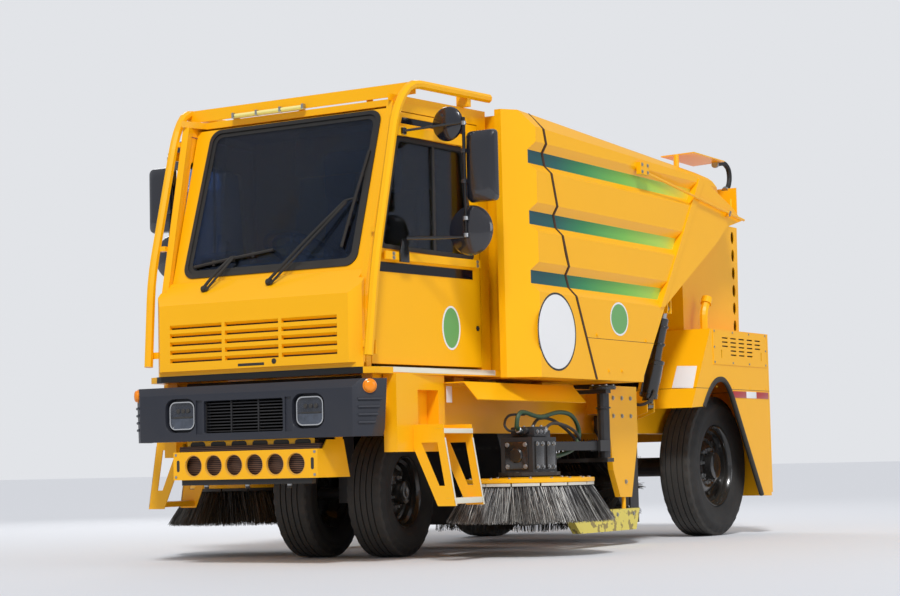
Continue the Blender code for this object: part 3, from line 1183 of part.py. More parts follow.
# Posts, runners and rubber deflectors that close the sides of the pickup
def shoe_post(side):
    loop = [(2.640, 0.900), (2.640, 1.060), (3.080, 1.060), (3.080, 0.700), (2.966, 0.316), (2.795, 0.319),
            (2.700, 0.500)]
    body = side_outline(loop, *sorted((side * 0.990, side * 1.030)))
    join(body, mirrored_box((RAIL_OUTER + GAP, 2.860, 0.880), (1.000, 3.040, 1.020), side))
    join(body, cylinder((side * 1.010, 2.880, 0.330), (side * 1.010, 2.880, 0.230), 0.014, 12))
    runner = [(2.080, 0.200), (2.190, 0.098), (3.000, 0.098), (3.060, 0.240), (2.300, 0.240)]
    join(body, side_outline(runner, *sorted((side * 0.980, side * 1.040))))
    return body



def deflector(side):
    return mirrored_box((0.960, 3.062, 0.140), (0.970, 3.190, 0.780), side)


def deflector_clamp(side):
    return mirrored_box((0.966, 3.064, 0.690), (0.996, 3.078, 0.770), side)


for side, word in ((1, "left"), (-1, "right")):
    shielded = join(shoe_post(side), deflector(side), deflector_clamp(side))
    part(settled(shielded), word + "_shoe_post", "yellow")

# Elevator chute rising through the frame, open at both ends
chute = side_outline(list(CHUTE), -CHUTE_HALF, CHUTE_HALF)
chute_hole = inset(list(CHUTE), 0.010)
chute_hole = [(2.150 + 0.012, 0.10), (2.550 - 0.012 + 0.024, 0.10), line_to([chute_hole[2], chute_hole[1]], 1.20, False),
              line_to([chute_hole[3], chute_hole[0]], 1.20, False)]
cut(chute, side_outline(chute_hole, -CHUTE_HALF + 0.010, CHUTE_HALF - 0.010))
part(chute, "elevator_chute", "black")

# Main broom on trailing arms
ARM_INNER = MAIN_HALF + 0.020
ARM_OUTER = ARM_INNER + 0.025
arms_pivot = pivot("main_broom_arm_pivot", (0.0, ARM_PIVOT[0], ARM_PIVOT[1]))
arm_set = cylinder((-ARM_OUTER - 0.015, MAIN_Y, MAIN_Z), (ARM_OUTER + 0.015, MAIN_Y, MAIN_Z), MAIN_SHAFT, 16)
for side in (1, -1):
    blade = side_outline(rounded([(ARM_PIVOT[0] - 0.050, ARM_PIVOT[1] + 0.050),
                                  (ARM_PIVOT[0] - 0.050, ARM_PIVOT[1] - 0.050), (MAIN_Y - 0.040, MAIN_Z - 0.050),
                                  (MAIN_Y + 0.050, MAIN_Z - 0.050), (MAIN_Y + 0.050, MAIN_Z + 0.050),
                                  (ARM_PIVOT[0] + 0.060, ARM_PIVOT[1] + 0.050)], 0.020),
                         *sorted((side * ARM_INNER, side * ARM_OUTER)))
    join(arm_set, blade)
for side in (1, -1):
    cut(arm_set, cylinder((side * (ARM_INNER - 0.010), *ARM_PIVOT), (side * (ARM_OUTER + 0.015), *ARM_PIVOT), 0.022 + RUNNING, 16))
part(settled(arm_set), "main_broom_arms", "black", arms_pivot)
main_pivot = pivot("main_broom_pivot", (0.0, MAIN_Y, MAIN_Z), arms_pivot)
core = turned([(MAIN_SHAFT + RUNNING, MAIN_HALF), (MAIN_RADIUS, MAIN_HALF), (MAIN_RADIUS, -MAIN_HALF),
               (MAIN_SHAFT + RUNNING, -MAIN_HALF)], (0, MAIN_Y, MAIN_Z), (0, math.pi / 2, 0), 40)
part(settled(core), "main_broom", "bristle", main_pivot)


def arm_boss(side):
    start = side * (RAIL_OUTER - 0.005)
    return cylinder((start, *ARM_PIVOT), (side * (ARM_OUTER + 0.010), *ARM_PIVOT), 0.022, 16)


join(frame, arm_boss(1), arm_boss(-1))
part(settled(frame), "chassis_frame", "yellow")


# Rear body: fender boxes over the drive wheels, service doors, engine block, housing and tail panel
FENDER_INNER = RAIL_OUTER + GAP
SERVICE = {"front": 3.985, "rear": 4.895, "bottom": 1.262, "top": 1.470}


def fender(side):
    loop = [(3.560, 0.920), (3.765, 0.930), (3.860, 1.035), (3.960, 1.105), (4.060, 1.130), (4.151, 1.125),
            (4.260, 1.040), (4.775, 0.281), ((REAR_PANEL_Y + 0.0015), 0.275), ((REAR_PANEL_Y + 0.0015), 1.080), (4.940, FENDER_TOP),
            (3.920, FENDER_TOP)]
    body = side_outline(loop, *sorted((side * FENDER_INNER, side * BODY_HALF)))
    room = inset(loop, FENDER_SHEET)
    room = [line_to([room[11], room[0]], 0.80, True), (4.260, 0.80), (4.760, 0.20),
            ((REAR_PANEL_Y + 0.0015) - FENDER_SHEET, 0.20), ((REAR_PANEL_Y + 0.0015) - FENDER_SHEET, 1.080), room[10], room[11]]
    cut(body, side_outline(room, *sorted((side * (FENDER_INNER + FENDER_SHEET), side * (BODY_HALF - FENDER_SHEET)))))
    cut(body, mirrored_box((0.70, 3.50, 0.20), (0.900, 4.948, 0.955), side))
    cut(body, mirrored_box((BODY_HALF - 0.120, SERVICE["front"], SERVICE["bottom"]),
                           (BODY_HALF + 0.080, SERVICE["rear"], SERVICE["top"]), side))
    return body


SLOT_TABLE = (
    {"y": 4.165, "rows": 3}, {"y": 4.315, "rows": 5}, {"y": 4.465, "rows": 5},
    {"y": 4.615, "rows": 5}, {"y": 4.765, "rows": 3},
)
PANEL_PROUD = 0.004


def vent_panel(side):
    # louvred service panel bolted over the opening in the fender's flank
    slots = []
    for column in SLOT_TABLE:
        for row in range(column["rows"]):
            z = 1.430 - row * 0.030
            slots.append(rectangle(column["y"] - 0.052, z - 0.005, column["y"] + 0.052, z + 0.005))
    for y in (4.100, 4.830):
        slots.append(rectangle(y - 0.007, 1.283, y + 0.007, 1.343))
    return side_outline(rectangle(3.955, 1.2355, 4.930, FENDER_TOP - 0.006),
                        *sorted((side * (BODY_HALF - 0.001), side * (BODY_HALF + PANEL_PROUD))), holes=slots)


rear_set = front_outline(rectangle(-BODY_HALF + 0.001, 0.300, BODY_HALF - 0.001, FENDER_TOP), REAR_PANEL_Y,
                         LENGTH - LAMP_DEEP)
cut(rear_set, box((-0.800, 4.900, 0.200), (0.800, 5.100, 0.700)))
for side in (1, -1):
    lamp = mirrored_box((BODY_HALF - 0.200, LENGTH - LAMP_DEEP - 0.002, 0.700), (BODY_HALF - 0.080, LENGTH, 0.980), side)
    join(rear_set, fender(side), vent_panel(side), lamp)
FILLER = (BODY_HALF - 0.110, 4.060)
neck = [(FILLER[0], FILLER[1], FENDER_TOP - 0.003), (FILLER[0], FILLER[1], 1.610),
        (FILLER[0], FILLER[1] + 0.050, 1.690)]
filler = tube(neck, 0.030, bend=0.05)
cap_dir = Vector((0.0, 0.53, 0.85)).normalized()
cap_foot = Vector(neck[-1]) - cap_dir * 0.010
join(rear_set, filler, cylinder(cap_foot, cap_foot + cap_dir * 0.050, 0.040, 16))
part(settled(rear_set), "rear_fenders", "yellow")

BLOCK_TOP = 1.620
block_foot = CROSS_MEMBERS[3]["top"] + GAP
part(box((-0.450, 3.965, block_foot), (0.450, 4.735, BLOCK_TOP)), "engine_block", "black")
HOUSING_SHEET = 0.006
side_loop = [(3.950, FENDER_TOP + GAP), (REAR_PANEL_Y, FENDER_TOP + GAP), (4.972, 2.320), (4.640, 2.320),
             (4.600, 2.270), (4.300, 2.215), (3.950, 2.000)]
housing = side_outline(side_loop, -HOUSING_HALF, HOUSING_HALF)
room = inset(side_loop, HOUSING_SHEET)
room = [(room[0][0], FENDER_TOP - 0.1), (room[1][0], FENDER_TOP - 0.1), *room[2:]]
cut(housing, side_outline(room, -HOUSING_HALF + HOUSING_SHEET, HOUSING_HALF - HOUSING_SHEET))
HOLE_ROWS = 6
for side in (1, -1):
    for row in range(HOLE_ROWS):
        hole = ring_points((4.880, 1.560 + row * 0.135), 0.030, 12, 1.6)
        cut(housing, side_outline(hole, *sorted((side * (HOUSING_HALF - 0.1), side * (HOUSING_HALF + 0.1)))))
part(settled(housing), "rear_housing", "yellow")
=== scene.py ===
# Street sweeper truck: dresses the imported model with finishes, tread, bristles, seals, fittings and cab trim.
# Places are in metres; "along" values are measured rearwards from the bumper's front face.
import math
import random

import bmesh
import bpy
from mathutils import Matrix, Vector


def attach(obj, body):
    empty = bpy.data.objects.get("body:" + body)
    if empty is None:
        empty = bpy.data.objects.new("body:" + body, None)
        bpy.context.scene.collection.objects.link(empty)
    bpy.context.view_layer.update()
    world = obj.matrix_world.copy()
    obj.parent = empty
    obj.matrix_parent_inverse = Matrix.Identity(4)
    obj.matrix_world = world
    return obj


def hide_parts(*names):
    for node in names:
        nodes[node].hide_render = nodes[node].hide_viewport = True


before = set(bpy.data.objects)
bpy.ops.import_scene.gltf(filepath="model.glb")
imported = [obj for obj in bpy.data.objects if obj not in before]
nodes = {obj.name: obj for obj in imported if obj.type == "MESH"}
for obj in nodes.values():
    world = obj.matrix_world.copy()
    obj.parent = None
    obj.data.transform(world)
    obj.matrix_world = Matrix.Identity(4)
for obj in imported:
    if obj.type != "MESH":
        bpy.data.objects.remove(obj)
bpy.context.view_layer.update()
bumperFace = -2.4935  # world y of the bumper's front face
cabSlope = math.radians(7.0)  # how far each cab side turns outwards to the rear
fullTurn = 2 * math.pi
print("frame loaded:", len(nodes), "nodes")


# small helpers
def at(x, along, z):
    return Vector((x, along + bumperFace, z))


def feed(tree, socket, value):
    # a socket takes another socket, a number or a colour
    if isinstance(value, bpy.types.NodeSocket):
        tree.links.new(value, socket)
    else:
        socket.default_value = (*value, 1.0) if isinstance(value, tuple) else value


def feedAll(tree, node, values):
    for key, value in values.items():
        feed(tree, node.inputs[key], value)


def addNode(tree, kind, inputs=None, **settings):
    made = tree.nodes.new(kind)
    for key, value in settings.items():
        setattr(made, key, value)
    feedAll(tree, made, inputs or {})
    return made


def maths(tree, operation, first, second=None, clamp=False):
    made = addNode(tree, "ShaderNodeMath", {0: first}, operation=operation, use_clamp=clamp)
    if second is not None:
        feed(tree, made.inputs[1], second)
    return made.outputs[0]


def times(tree, first, second, clamp=False):
    return maths(tree, "MULTIPLY", first, second, clamp)


def plus(tree, first, second, clamp=False):
    return maths(tree, "ADD", first, second, clamp)


def above(tree, value, limit):
    return maths(tree, "GREATER_THAN", value, limit)


def below(tree, value, limit):
    return maths(tree, "LESS_THAN", value, limit)


def between(tree, value, low, high):
    return times(tree, above(tree, value, low), below(tree, value, high))


def distanceFromMiddle(tree, value):
    return maths(tree, "ABSOLUTE", value)


def mixColour(tree, factor, first, second):
    return addNode(tree, "ShaderNodeMix", {0: factor, 6: first, 7: second}, data_type="RGBA").outputs[2]


def noise(tree, **inputs):
    return addNode(tree, "ShaderNodeTexNoise", inputs).outputs["Fac"]


def objectPlace(tree):
    return addNode(tree, "ShaderNodeTexCoord").outputs["Object"]


def coordinates(tree):
    split = addNode(tree, "ShaderNodeSeparateXYZ", {0: objectPlace(tree)})
    return split.outputs["X"], split.outputs["Y"], split.outputs["Z"]


def srgb(red, green, blue):
    def line(value):
        value /= 255
        return value / 12.92 if value <= 0.04045 else ((value + 0.055) / 1.055) ** 2.4
    return (line(red), line(green), line(blue))


def shaded(colour, share):
    return tuple(channel * share for channel in colour)


# shared shader groups
def newGroup(name, inputs, outputs):
    tree = bpy.data.node_groups.new(name, "ShaderNodeTree")
    for label, value in inputs.items():
        tree.interface.new_socket(name=label, in_out="INPUT", socket_type="NodeSocketFloat").default_value = value
    for label in outputs:
        tree.interface.new_socket(name=label, in_out="OUTPUT", socket_type="NodeSocketFloat")
    return tree, addNode(tree, "NodeGroupInput").outputs, addNode(tree, "NodeGroupOutput")


def makeWearGroup():
    # bare edges where two faces meet, broken up by noise
    tree, given, result = newGroup("edgeWear", {"Radius": 0.004, "Amount": 0.4, "Scale": 30.0}, ["Mask"])
    soft = addNode(tree, "ShaderNodeBevel", {"Radius": given["Radius"]}, samples=4)
    shape = addNode(tree, "ShaderNodeNewGeometry")
    dot = addNode(tree, "ShaderNodeVectorMath", {0: soft.outputs[0], 1: shape.outputs["Normal"]},
                  operation="DOT_PRODUCT")
    edge = times(tree, maths(tree, "SUBTRACT", 1.0, dot.outputs["Value"]), 6.0, True)
    speck = noise(tree, Detail=5.0, Vector=objectPlace(tree), Scale=given["Scale"])
    broken = times(tree, maths(tree, "SUBTRACT", speck, 0.42), 5.0, True)
    feed(tree, result.inputs["Mask"], times(tree, times(tree, edge, broken), given["Amount"], True))
    return tree


def makeDustGroup():
    # road dust: thick near the ground and on faces that look up
    tree, given, result = newGroup("roadDust", {"Low": 0.1, "High": 1.1, "Amount": 0.5}, ["Mask"])
    fall = addNode(tree, "ShaderNodeMapRange", {"Value": coordinates(tree)[2], "From Min": given["Low"],
                                                "From Max": given["High"], "To Min": 1.0, "To Max": 0.0})
    cloud = noise(tree, Scale=7.0, Detail=6.0, Vector=objectPlace(tree))
    shape = addNode(tree, "ShaderNodeNewGeometry")
    facing = addNode(tree, "ShaderNodeSeparateXYZ", {0: shape.outputs["Normal"]})
    lying = times(tree, maths(tree, "MAXIMUM", facing.outputs["Z"], 0.0), 0.35)
    both = plus(tree, times(tree, fall.outputs[0], 0.8), lying)
    patchy = times(tree, both, plus(tree, cloud, 0.25))
    feed(tree, result.inputs["Mask"], times(tree, patchy, given["Amount"], True))
    return tree


def makeGrainGroup():
    # fine surface relief and a slow drift of tone
    tree, given, result = newGroup("surfaceGrain", {"Fine": 260.0, "Broad": 2.5}, ["Height", "Tone"])
    place = objectPlace(tree)
    feedAll(tree, result, {"Height": noise(tree, Detail=3.0, Vector=place, Scale=given["Fine"]),
                           "Tone": noise(tree, Detail=4.0, Vector=place, Scale=given["Broad"])})
    return tree


wearGroup, dustGroup, grainGroup = makeWearGroup(), makeDustGroup(), makeGrainGroup()


def useGroup(tree, group, **values):
    made = addNode(tree, "ShaderNodeGroup", node_tree=group)
    feedAll(tree, made, values)
    return made.outputs


def newMaterial(name):
    made = bpy.data.materials.new(name)
    made.use_nodes = True
    return made, made.node_tree, made.node_tree.nodes["Principled BSDF"]


def addRelief(tree, shader, height, strength, distance):
    relief = addNode(tree, "ShaderNodeBump", {"Strength": strength, "Distance": distance, "Height": height})
    feed(tree, shader.inputs["Normal"], relief.outputs[0])


finishKeys = ("colour", "rough", "coat", "bump", "fine", "wear", "under", "dust", "low", "high")
finishTable = {  # colour, roughness, coat, relief, its fineness, edge wear, colour below it, dust, its low and high
    "bodyYellow": ((255, 184, 0), 0.36, 0.18, 0.03, 220.0, 0.12, (176, 132, 30), 0.08, 0.1, 1.4),
    "shadedYellow": ((246, 176, 10), 0.42, 0.2, 0.05, 200.0, 0.5, (110, 100, 84), 0.5, 0.0, 1.2),
    "bumperBlue": ((33, 37, 48), 0.48, 0.0, 0.25, 420.0, 0.15, (90, 94, 104), 0.06, 0.4, 1.4),
    # grille bars: black plastic, made darker than the bumper as painted shade of the recessed grille
    "grilleBlackAndShade": ((21, 22, 27), 0.5, 0.0, 0.2, 420.0, 0.1, (70, 72, 80), 0.08, 0.4, 1.4),
    "glossBlack": ((16, 17, 20), 0.20, 0.6, 0.03, 240.0, 0.2, (90, 90, 94), 0.10, 0.0, 1.2),
    "chassisBlack": ((22, 24, 30), 0.42, 0.1, 0.10, 180.0, 0.35, (90, 88, 86), 0.15, 0.0, 1.2),
    "sealRubber": ((17, 17, 19), 0.62, 0.0, 0.10, 500.0, 0.0, (60, 60, 60), 0.2, 0.2, 2.8),
    "mirrorShell": ((20, 23, 34), 0.18, 0.9, 0.12, 600.0, 0.1, (80, 82, 90), 0.1, 1.0, 2.8),
    "dashGrey": ((168, 172, 170), 0.60, 0.0, 0.30, 700.0, 0.1, (140, 140, 140), 0.1, 1.0, 2.0),
    "boxBlack": ((30, 31, 34), 0.55, 0.0, 0.25, 650.0, 0.15, (90, 90, 92), 0.15, 1.0, 2.2),
    "shoePaint": ((226, 208, 92), 0.55, 0.0, 0.15, 120.0, 1.6, (96, 84, 62), 0.5, 0.0, 0.5),
    "steelPlain": ((176, 178, 180), 0.32, 0.0, 0.06, 300.0, 0.2, (210, 210, 210), 0.2, 0.0, 1.2),
    "tapeWhite": ((236, 232, 214), 0.72, 0.0, 0.55, 900.0, 0.3, (150, 146, 130), 0.35, 0.0, 1.6),
    "signWhite": ((240, 240, 240), 0.35, 0.3, 0.04, 400.0, 0.1, (190, 190, 190), 0.15, 0.0, 1.4),
    "blockGrey": ((214, 210, 198), 0.6, 0.0, 0.2, 300.0, 0.3, (120, 116, 106), 0.4, 0.1, 0.7),
    "signGreen": ((104, 168, 92), 0.35, 0.3, 0.04, 400.0, 0.1, (190, 200, 190), 0.15, 0.0, 1.4),
    "signRed": ((176, 28, 30), 0.3, 0.4, 0.04, 400.0, 0.1, (200, 180, 180), 0.1, 0.0, 1.4),
    # the parting seal's brown is painted shade of the gap between hopper and housing
    "partingGapShadeBrown": ((66, 34, 12), 0.7, 0.0, 0.15, 300.0, 0.0, (60, 30, 10), 0.1, 0.0, 2.8),
    "hoseGreen": ((24, 66, 36), 0.45, 0.1, 0.2, 700.0, 0.0, (40, 60, 40), 0.25, 0.0, 1.0),
}
metalShare = {"steelPlain": 0.9}
glossLevel = {"bodyYellow": 0.30}


def paintFinish(name, extra=""):
    spec = dict(zip(finishKeys, finishTable[name]))
    made, tree, shader = newMaterial(name + "With" + extra if extra else name)
    grain = useGroup(tree, grainGroup, Fine=spec["fine"])
    dust = useGroup(tree, dustGroup, Low=spec["low"], High=spec["high"], Amount=spec["dust"])["Mask"]
    colour = srgb(*spec["colour"])
    base = mixColour(tree, times(tree, grain["Tone"], 0.5), colour, shaded(colour, 0.90))
    if extra:
        base = extraLayers[extra](tree, base)
    if spec["wear"] > 0.0:
        wear = useGroup(tree, wearGroup, Amount=spec["wear"])
        base = mixColour(tree, wear["Mask"], base, srgb(*spec["under"]))
    feedAll(tree, shader, {"Base Color": mixColour(tree, dust, base, srgb(150, 138, 118)),
                           "Roughness": plus(tree, times(tree, dust, 0.5), spec["rough"], True),
                           "Metallic": metalShare.get(name, 0.0), "Coat Weight": spec["coat"], "Coat Roughness": 0.12,
                           "Specular IOR Level": glossLevel.get(name, 0.5)})
    addRelief(tree, shader, grain["Height"], spec["bump"], 0.001)
    return made


stripeSpec = {
    "rows": ((2.394, 2.480), (2.017, 2.103), (1.653, 1.737)),  # heights of the three groove floors
    "floor": (1.170, 1.1812), "front": 1.362, "fade": (1.36, 3.60),
    "stops": ((0.0, (24, 74, 84)), (0.16, (26, 92, 88)), (0.32, (52, 140, 84)), (0.58, (120, 190, 78)),
              (0.82, (176, 214, 84)), (1.0, (236, 214, 60))),
}


def stripeLayer(tree, base):
    # coloured bands on the groove floors, dark teal in front and lime at the back
    x, y, z = coordinates(tree)
    start, stop = stripeSpec["fade"]
    spread = addNode(tree, "ShaderNodeMapRange", {"Value": y, "From Min": start + bumperFace, "From Max": stop
                                                  + bumperFace})
    ramp = addNode(tree, "ShaderNodeValToRGB", {"Fac": spread.outputs[0]})
    points = ramp.color_ramp.elements
    for index, (position, tone) in enumerate(stripeSpec["stops"]):
        point = points[0] if index == 0 else points[-1] if position == 1.0 else points.new(position)
        point.position, point.color = position, (*srgb(*tone), 1.0)
    rows = 0.0
    for low, high in stripeSpec["rows"]:
        rows = plus(tree, rows, between(tree, z, low, high), True)
    mask = times(tree, between(tree, distanceFromMiddle(tree, x), *stripeSpec["floor"]), rows)
    mask = times(tree, mask, above(tree, y, stripeSpec["front"] + bumperFace))
    return mixColour(tree, mask, base, ramp.outputs["Color"])


def seamAcross(tree, base, height, start, stop):
    # a thin dark joint in the sheet, level along the side
    x, y, z = coordinates(tree)
    level = between(tree, z, height - 0.0018, height + 0.0018)
    mask = times(tree, level, between(tree, y, start + bumperFace, stop + bumperFace))
    return mixColour(tree, mask, base, srgb(70, 38, 8))


def hopperLayer(tree, base):
    return seamAcross(tree, stripeLayer(tree, base), 1.345, 1.9, 2.98)


def shoeLayer(tree, base):
    # scuffed pale shoes below, black flaps on their inner rear faces
    x, y, z = coordinates(tree)
    worn = above(tree, noise(tree, Scale=14.0, Detail=8.0), 0.56)
    shoe = mixColour(tree, worn, srgb(226, 208, 92), srgb(150, 132, 70))
    base = mixColour(tree, below(tree, z, 0.2405), base, shoe)
    flap = times(tree, below(tree, distanceFromMiddle(tree, x), 0.9703), above(tree, y, 3.0617 + bumperFace))
    return mixColour(tree, flap, base, srgb(16, 16, 18))


def sprayBarLayer(tree, base):
    return mixColour(tree, below(tree, coordinates(tree)[2], 0.5035), base, srgb(24, 24, 26))


def tailLayer(tree, base):
    # amber, red and clear lenses on the tail, and the joint line round the fender
    base = seamAcross(tree, base, 1.060, 3.55, 4.99)
    x, y, z = coordinates(tree)
    tone = mixColour(tree, above(tree, z, 0.890), srgb(160, 14, 16), srgb(236, 128, 10))
    tone = mixColour(tree, below(tree, z, 0.790), tone, srgb(206, 208, 212))
    for gap in (0.790, 0.890):
        tone = mixColour(tree, between(tree, z, gap - 0.002, gap + 0.002), tone, srgb(30, 26, 26))
    return mixColour(tree, above(tree, y, 4.9776 + bumperFace), base, tone)


def floorGapShadeLayer(tree, base):
    # the floor's front edge below the nose is painted black: painted shade of the gap under the cab, between nose and
    # bumper
    x, y, z = coordinates(tree)
    edge = times(tree, below(tree, y, 0.170 + bumperFace), below(tree, distanceFromMiddle(tree, x), 0.750))
    return mixColour(tree, edge, base, srgb(18, 18, 20))


extraLayers = {"Stripes": stripeLayer, "Floor": floorGapShadeLayer, "HopperSeam": hopperLayer, "Tail": tailLayer,
               "SprayBar": sprayBarLayer, "Shoe": shoeLayer}


# finishes that are more than paint
def rubberFinish(name, tread, side, lineCount):
    # black side walls with fine rings, dusty running face
    made, tree, shader = newMaterial(name)
    grain = useGroup(tree, grainGroup, Fine=160.0, Broad=9.0)
    reach = addNode(tree, "ShaderNodeAttribute", attribute_name="reach").outputs["Fac"]
    mixed = mixColour(tree, above(tree, reach, 0.965), side, tread)
    feedAll(tree, shader, {"Base Color": mixColour(tree, times(tree, grain["Tone"], 0.42), mixed, srgb(70, 66, 60)),
                           "Roughness": 0.78})
    rings = maths(tree, "SINE", times(tree, reach, lineCount))
    addRelief(tree, shader, plus(tree, times(tree, rings, 0.35), grain["Height"]), 0.5, 0.0014)
    return made


def bristleFinish(name, dark, middle, pale, paleShare):
    # every wire has its own tone, and the tips are the most worn
    made, tree, shader = newMaterial(name)
    island = addNode(tree, "ShaderNodeNewGeometry").outputs["Random Per Island"]
    ramp = addNode(tree, "ShaderNodeValToRGB", {"Fac": island})
    points = ramp.color_ramp.elements
    points[0].color, points[1].color = (*dark, 1.0), (*pale, 1.0)
    points.new(1.0 - paleShare).color = (*middle, 1.0)
    dust = useGroup(tree, dustGroup, Low=0.15, High=0.5, Amount=0.3)["Mask"]
    feedAll(tree, shader, {"Base Color": mixColour(tree, dust, ramp.outputs["Color"], srgb(150, 140, 122)),
                           "Roughness": plus(tree, times(tree, island, 0.2), 0.35), "Metallic": 0.25})
    return made


def glassFinish(name, tint, clear):
    made, tree, shader = newMaterial(name)
    tone = useGroup(tree, grainGroup, Fine=40.0, Broad=3.0)["Tone"]
    feedAll(tree, shader, {"Base Color": mixColour(tree, times(tree, tone, 0.5), tint, shaded(tint, 0.8)),
                           "Roughness": times(tree, tone, 0.04), "Transmission Weight": 1.0, "IOR": 1.45,
                           "Alpha": clear,
                           "Specular Tint": (0.50, 0.66, 1.0)})
    return made


def shinyFinish(name, colour, rough, metal, extraRelief=0.02):
    made, tree, shader = newMaterial(name)
    grain = useGroup(tree, grainGroup, Fine=120.0, Broad=6.0)
    feedAll(tree, shader, {"Base Color": mixColour(tree, times(tree, grain["Tone"], 0.4), colour,
                                                   shaded(colour, 0.8)),
                           "Roughness": plus(tree, times(tree, grain["Tone"], 0.08), rough), "Metallic": metal})
    addRelief(tree, shader, grain["Height"], extraRelief, 0.001)
    return made


def lampFinish(name):
    # headlamp face: dark upper reflector, pale lower one, upright flutes in the lens
    made, tree, shader = newMaterial(name)
    x, y, z = coordinates(tree)
    tone = times(tree, useGroup(tree, grainGroup, Fine=90.0, Broad=22.0)["Tone"], 0.9)
    upper = mixColour(tree, tone, srgb(18, 20, 27), srgb(50, 56, 68))
    lower = mixColour(tree, tone, srgb(84, 92, 106), srgb(34, 38, 46))
    halves = mixColour(tree, below(tree, z, 0.872), upper, lower)
    feedAll(tree, shader, {"Base Color": mixColour(tree, between(tree, z, 0.868, 0.880), halves, srgb(40, 42, 46)),
                           "Roughness": 0.12, "Coat Weight": 1.0})
    addRelief(tree, shader, maths(tree, "SINE", times(tree, x, 620.0)), 0.5, 0.0015)
    return made


def clothFinish(name, colour, threads=2400.0):
    # woven seat cover
    made, tree, shader = newMaterial(name)
    x, y, z = coordinates(tree)
    warp, weft = (maths(tree, "SINE", times(tree, run, threads)) for run in (x, plus(tree, y, z)))
    weave = times(tree, warp, weft)
    shade = plus(tree, times(tree, weave, 0.25), 0.5, True)
    feedAll(tree, shader, {"Base Color": mixColour(tree, shade, shaded(colour, 0.6), colour), "Roughness": 0.9,
                           "Sheen Weight": 0.3})
    addRelief(tree, shader, weave, 0.4, 0.0006)
    return made


def finsFinish(name):
    # cooler core: fine dark lying fins
    made, tree, shader = newMaterial(name)
    ridges = maths(tree, "SINE", times(tree, coordinates(tree)[2], 560.0))
    shade = plus(tree, times(tree, ridges, 0.5), 0.5, True)
    feedAll(tree, shader, {"Base Color": mixColour(tree, shade, srgb(12, 11, 12), srgb(116, 84, 66)),
                           "Roughness": 0.5,
                           "Metallic": 0.3})
    return made


paints = {name: paintFinish(name) for name in finishTable}
paints.update({"bodyYellow" + extra: paintFinish("bodyYellow", extra) for extra in extraLayers})
stripGlass = (srgb(18, 20, 26), 0.06, 0.0)
for made in (rubberFinish("treadRubber", srgb(50, 48, 46), srgb(22, 22, 24), 210.0),
             bristleFinish("leftWire", srgb(20, 20, 24), srgb(86, 86, 90), srgb(216, 214, 208), 0.42),
             bristleFinish("darkWire", srgb(10, 10, 12), srgb(26, 26, 30), srgb(92, 90, 88), 0.12),
             glassFinish("cabGlass", (0.045, 0.085, 0.175), 0.88),
             shinyFinish("mirrorGlass", (0.78, 0.80, 0.83), 0.03, 1.0),
             shinyFinish("chromeTrim", (0.82, 0.82, 0.82), 0.12, 1.0), lampFinish("lampFace"),
             finsFinish("coolerFins"),
             shinyFinish("amberLens", srgb(250, 142, 10), 0.16, 0.0, 0.3), clothFinish("seatCloth", srgb(52, 58, 74)),
             shinyFinish("lampTube", srgb(250, 236, 150), 0.3, 0.0, 0.1), shinyFinish("stripGlassLeft", *stripGlass),
             shinyFinish("stripGlassRight", *stripGlass)):
    paints[made.name] = made

slotFinish = {"yellow_paint": "bodyYellow", "black_paint": "chassisBlack", "bumper_paint": "bumperBlue",
              "tyre_rubber": "sealRubber", "lamp_glass": "signWhite", "ram_steel": "steelPlain",
              "bristle_steel": "boxBlack", "grey_plastic": "dashGrey", "seat_fabric": "boxBlack"}
ownFinish = {"elevator_housing": "bodyYellowStripes", "hopper": "bodyYellowHopperSeam",
             "hopper_dump_door": "bodyYellowStripes",
             "rear_fenders": "bodyYellowTail", "lower_guard": "bodyYellowSprayBar",
             "left_shoe_post": "bodyYellowShoe",
             "right_shoe_post": "bodyYellowShoe", "ram_barrel": "glossBlack", "ram_stage_1": "glossBlack",
             "engine_block": "chassisBlack", "elevator_chute": "chassisBlack", "cab_floor": "bodyYellowFloor",
             "windshield": "cabGlass", "rear_window": "cabGlass", "left_door_glass": "cabGlass",
             "right_door_glass": "cabGlass"}
for name, node in nodes.items():
    slotName = node.data.materials[0].name.split(".")[0] if node.data.materials else "yellow_paint"
    finish = paints[ownFinish.get(name, slotFinish.get(slotName, "bodyYellow"))]
    if node.material_slots:
        for place in node.material_slots:
            place.material = finish
    else:
        node.data.materials.append(finish)
print("finishes laid on the nodes")


# mesh tools
def placed(name, data):
    made = bpy.data.objects.new(name, data)
    bpy.context.scene.collection.objects.link(made)
    return made


def meshObject(name, shape):
    mesh = bpy.data.meshes.new(name)
    bmesh.ops.recalc_face_normals(shape, faces=shape.faces)
    shape.to_mesh(mesh)
    shape.free()
    return placed(name, mesh)


def newPiece(name, shape, finish, body="truck", slotName=None, sharp=34.0):
    made = meshObject(name, shape)
    made.data.materials.append(paints[finish])
    made.data.shade_smooth()
    made.data.set_sharp_from_angle(angle=math.radians(sharp))
    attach(made, body)
    return made


def bridge(shape, first, second):
    # a band of faces between two rings with the same count
    for k in range(len(first)):
        after = (k + 1) % len(first)
        shape.faces.new((first[k], first[after], second[after], second[k]))


def capEnds(shape, rings):
    shape.faces.new(list(reversed(rings[0])))
    shape.faces.new(rings[-1])


def easeEdges(shape, edges, size):
    return bmesh.ops.bevel(shape, geom=edges, offset=size, segments=2, affect="EDGES", profile=0.6)["verts"]


def addBox(shape, low, high, bevel=0.0):
    corners = bmesh.ops.create_cube(shape, size=1.0)["verts"]
    low, high = Vector(low), Vector(high)
    middle, span = (low + high) / 2, high - low
    for corner in corners:
        corner.co = Vector(corner.co[axis] * span[axis] for axis in range(3))
    if bevel > 0.0:
        edges = list({edge for corner in corners for edge in corner.link_edges})
        corners = easeEdges(shape, edges, min(bevel, min(span) * 0.45))
    for corner in {*corners}:
        corner.co = corner.co + middle
    return shape


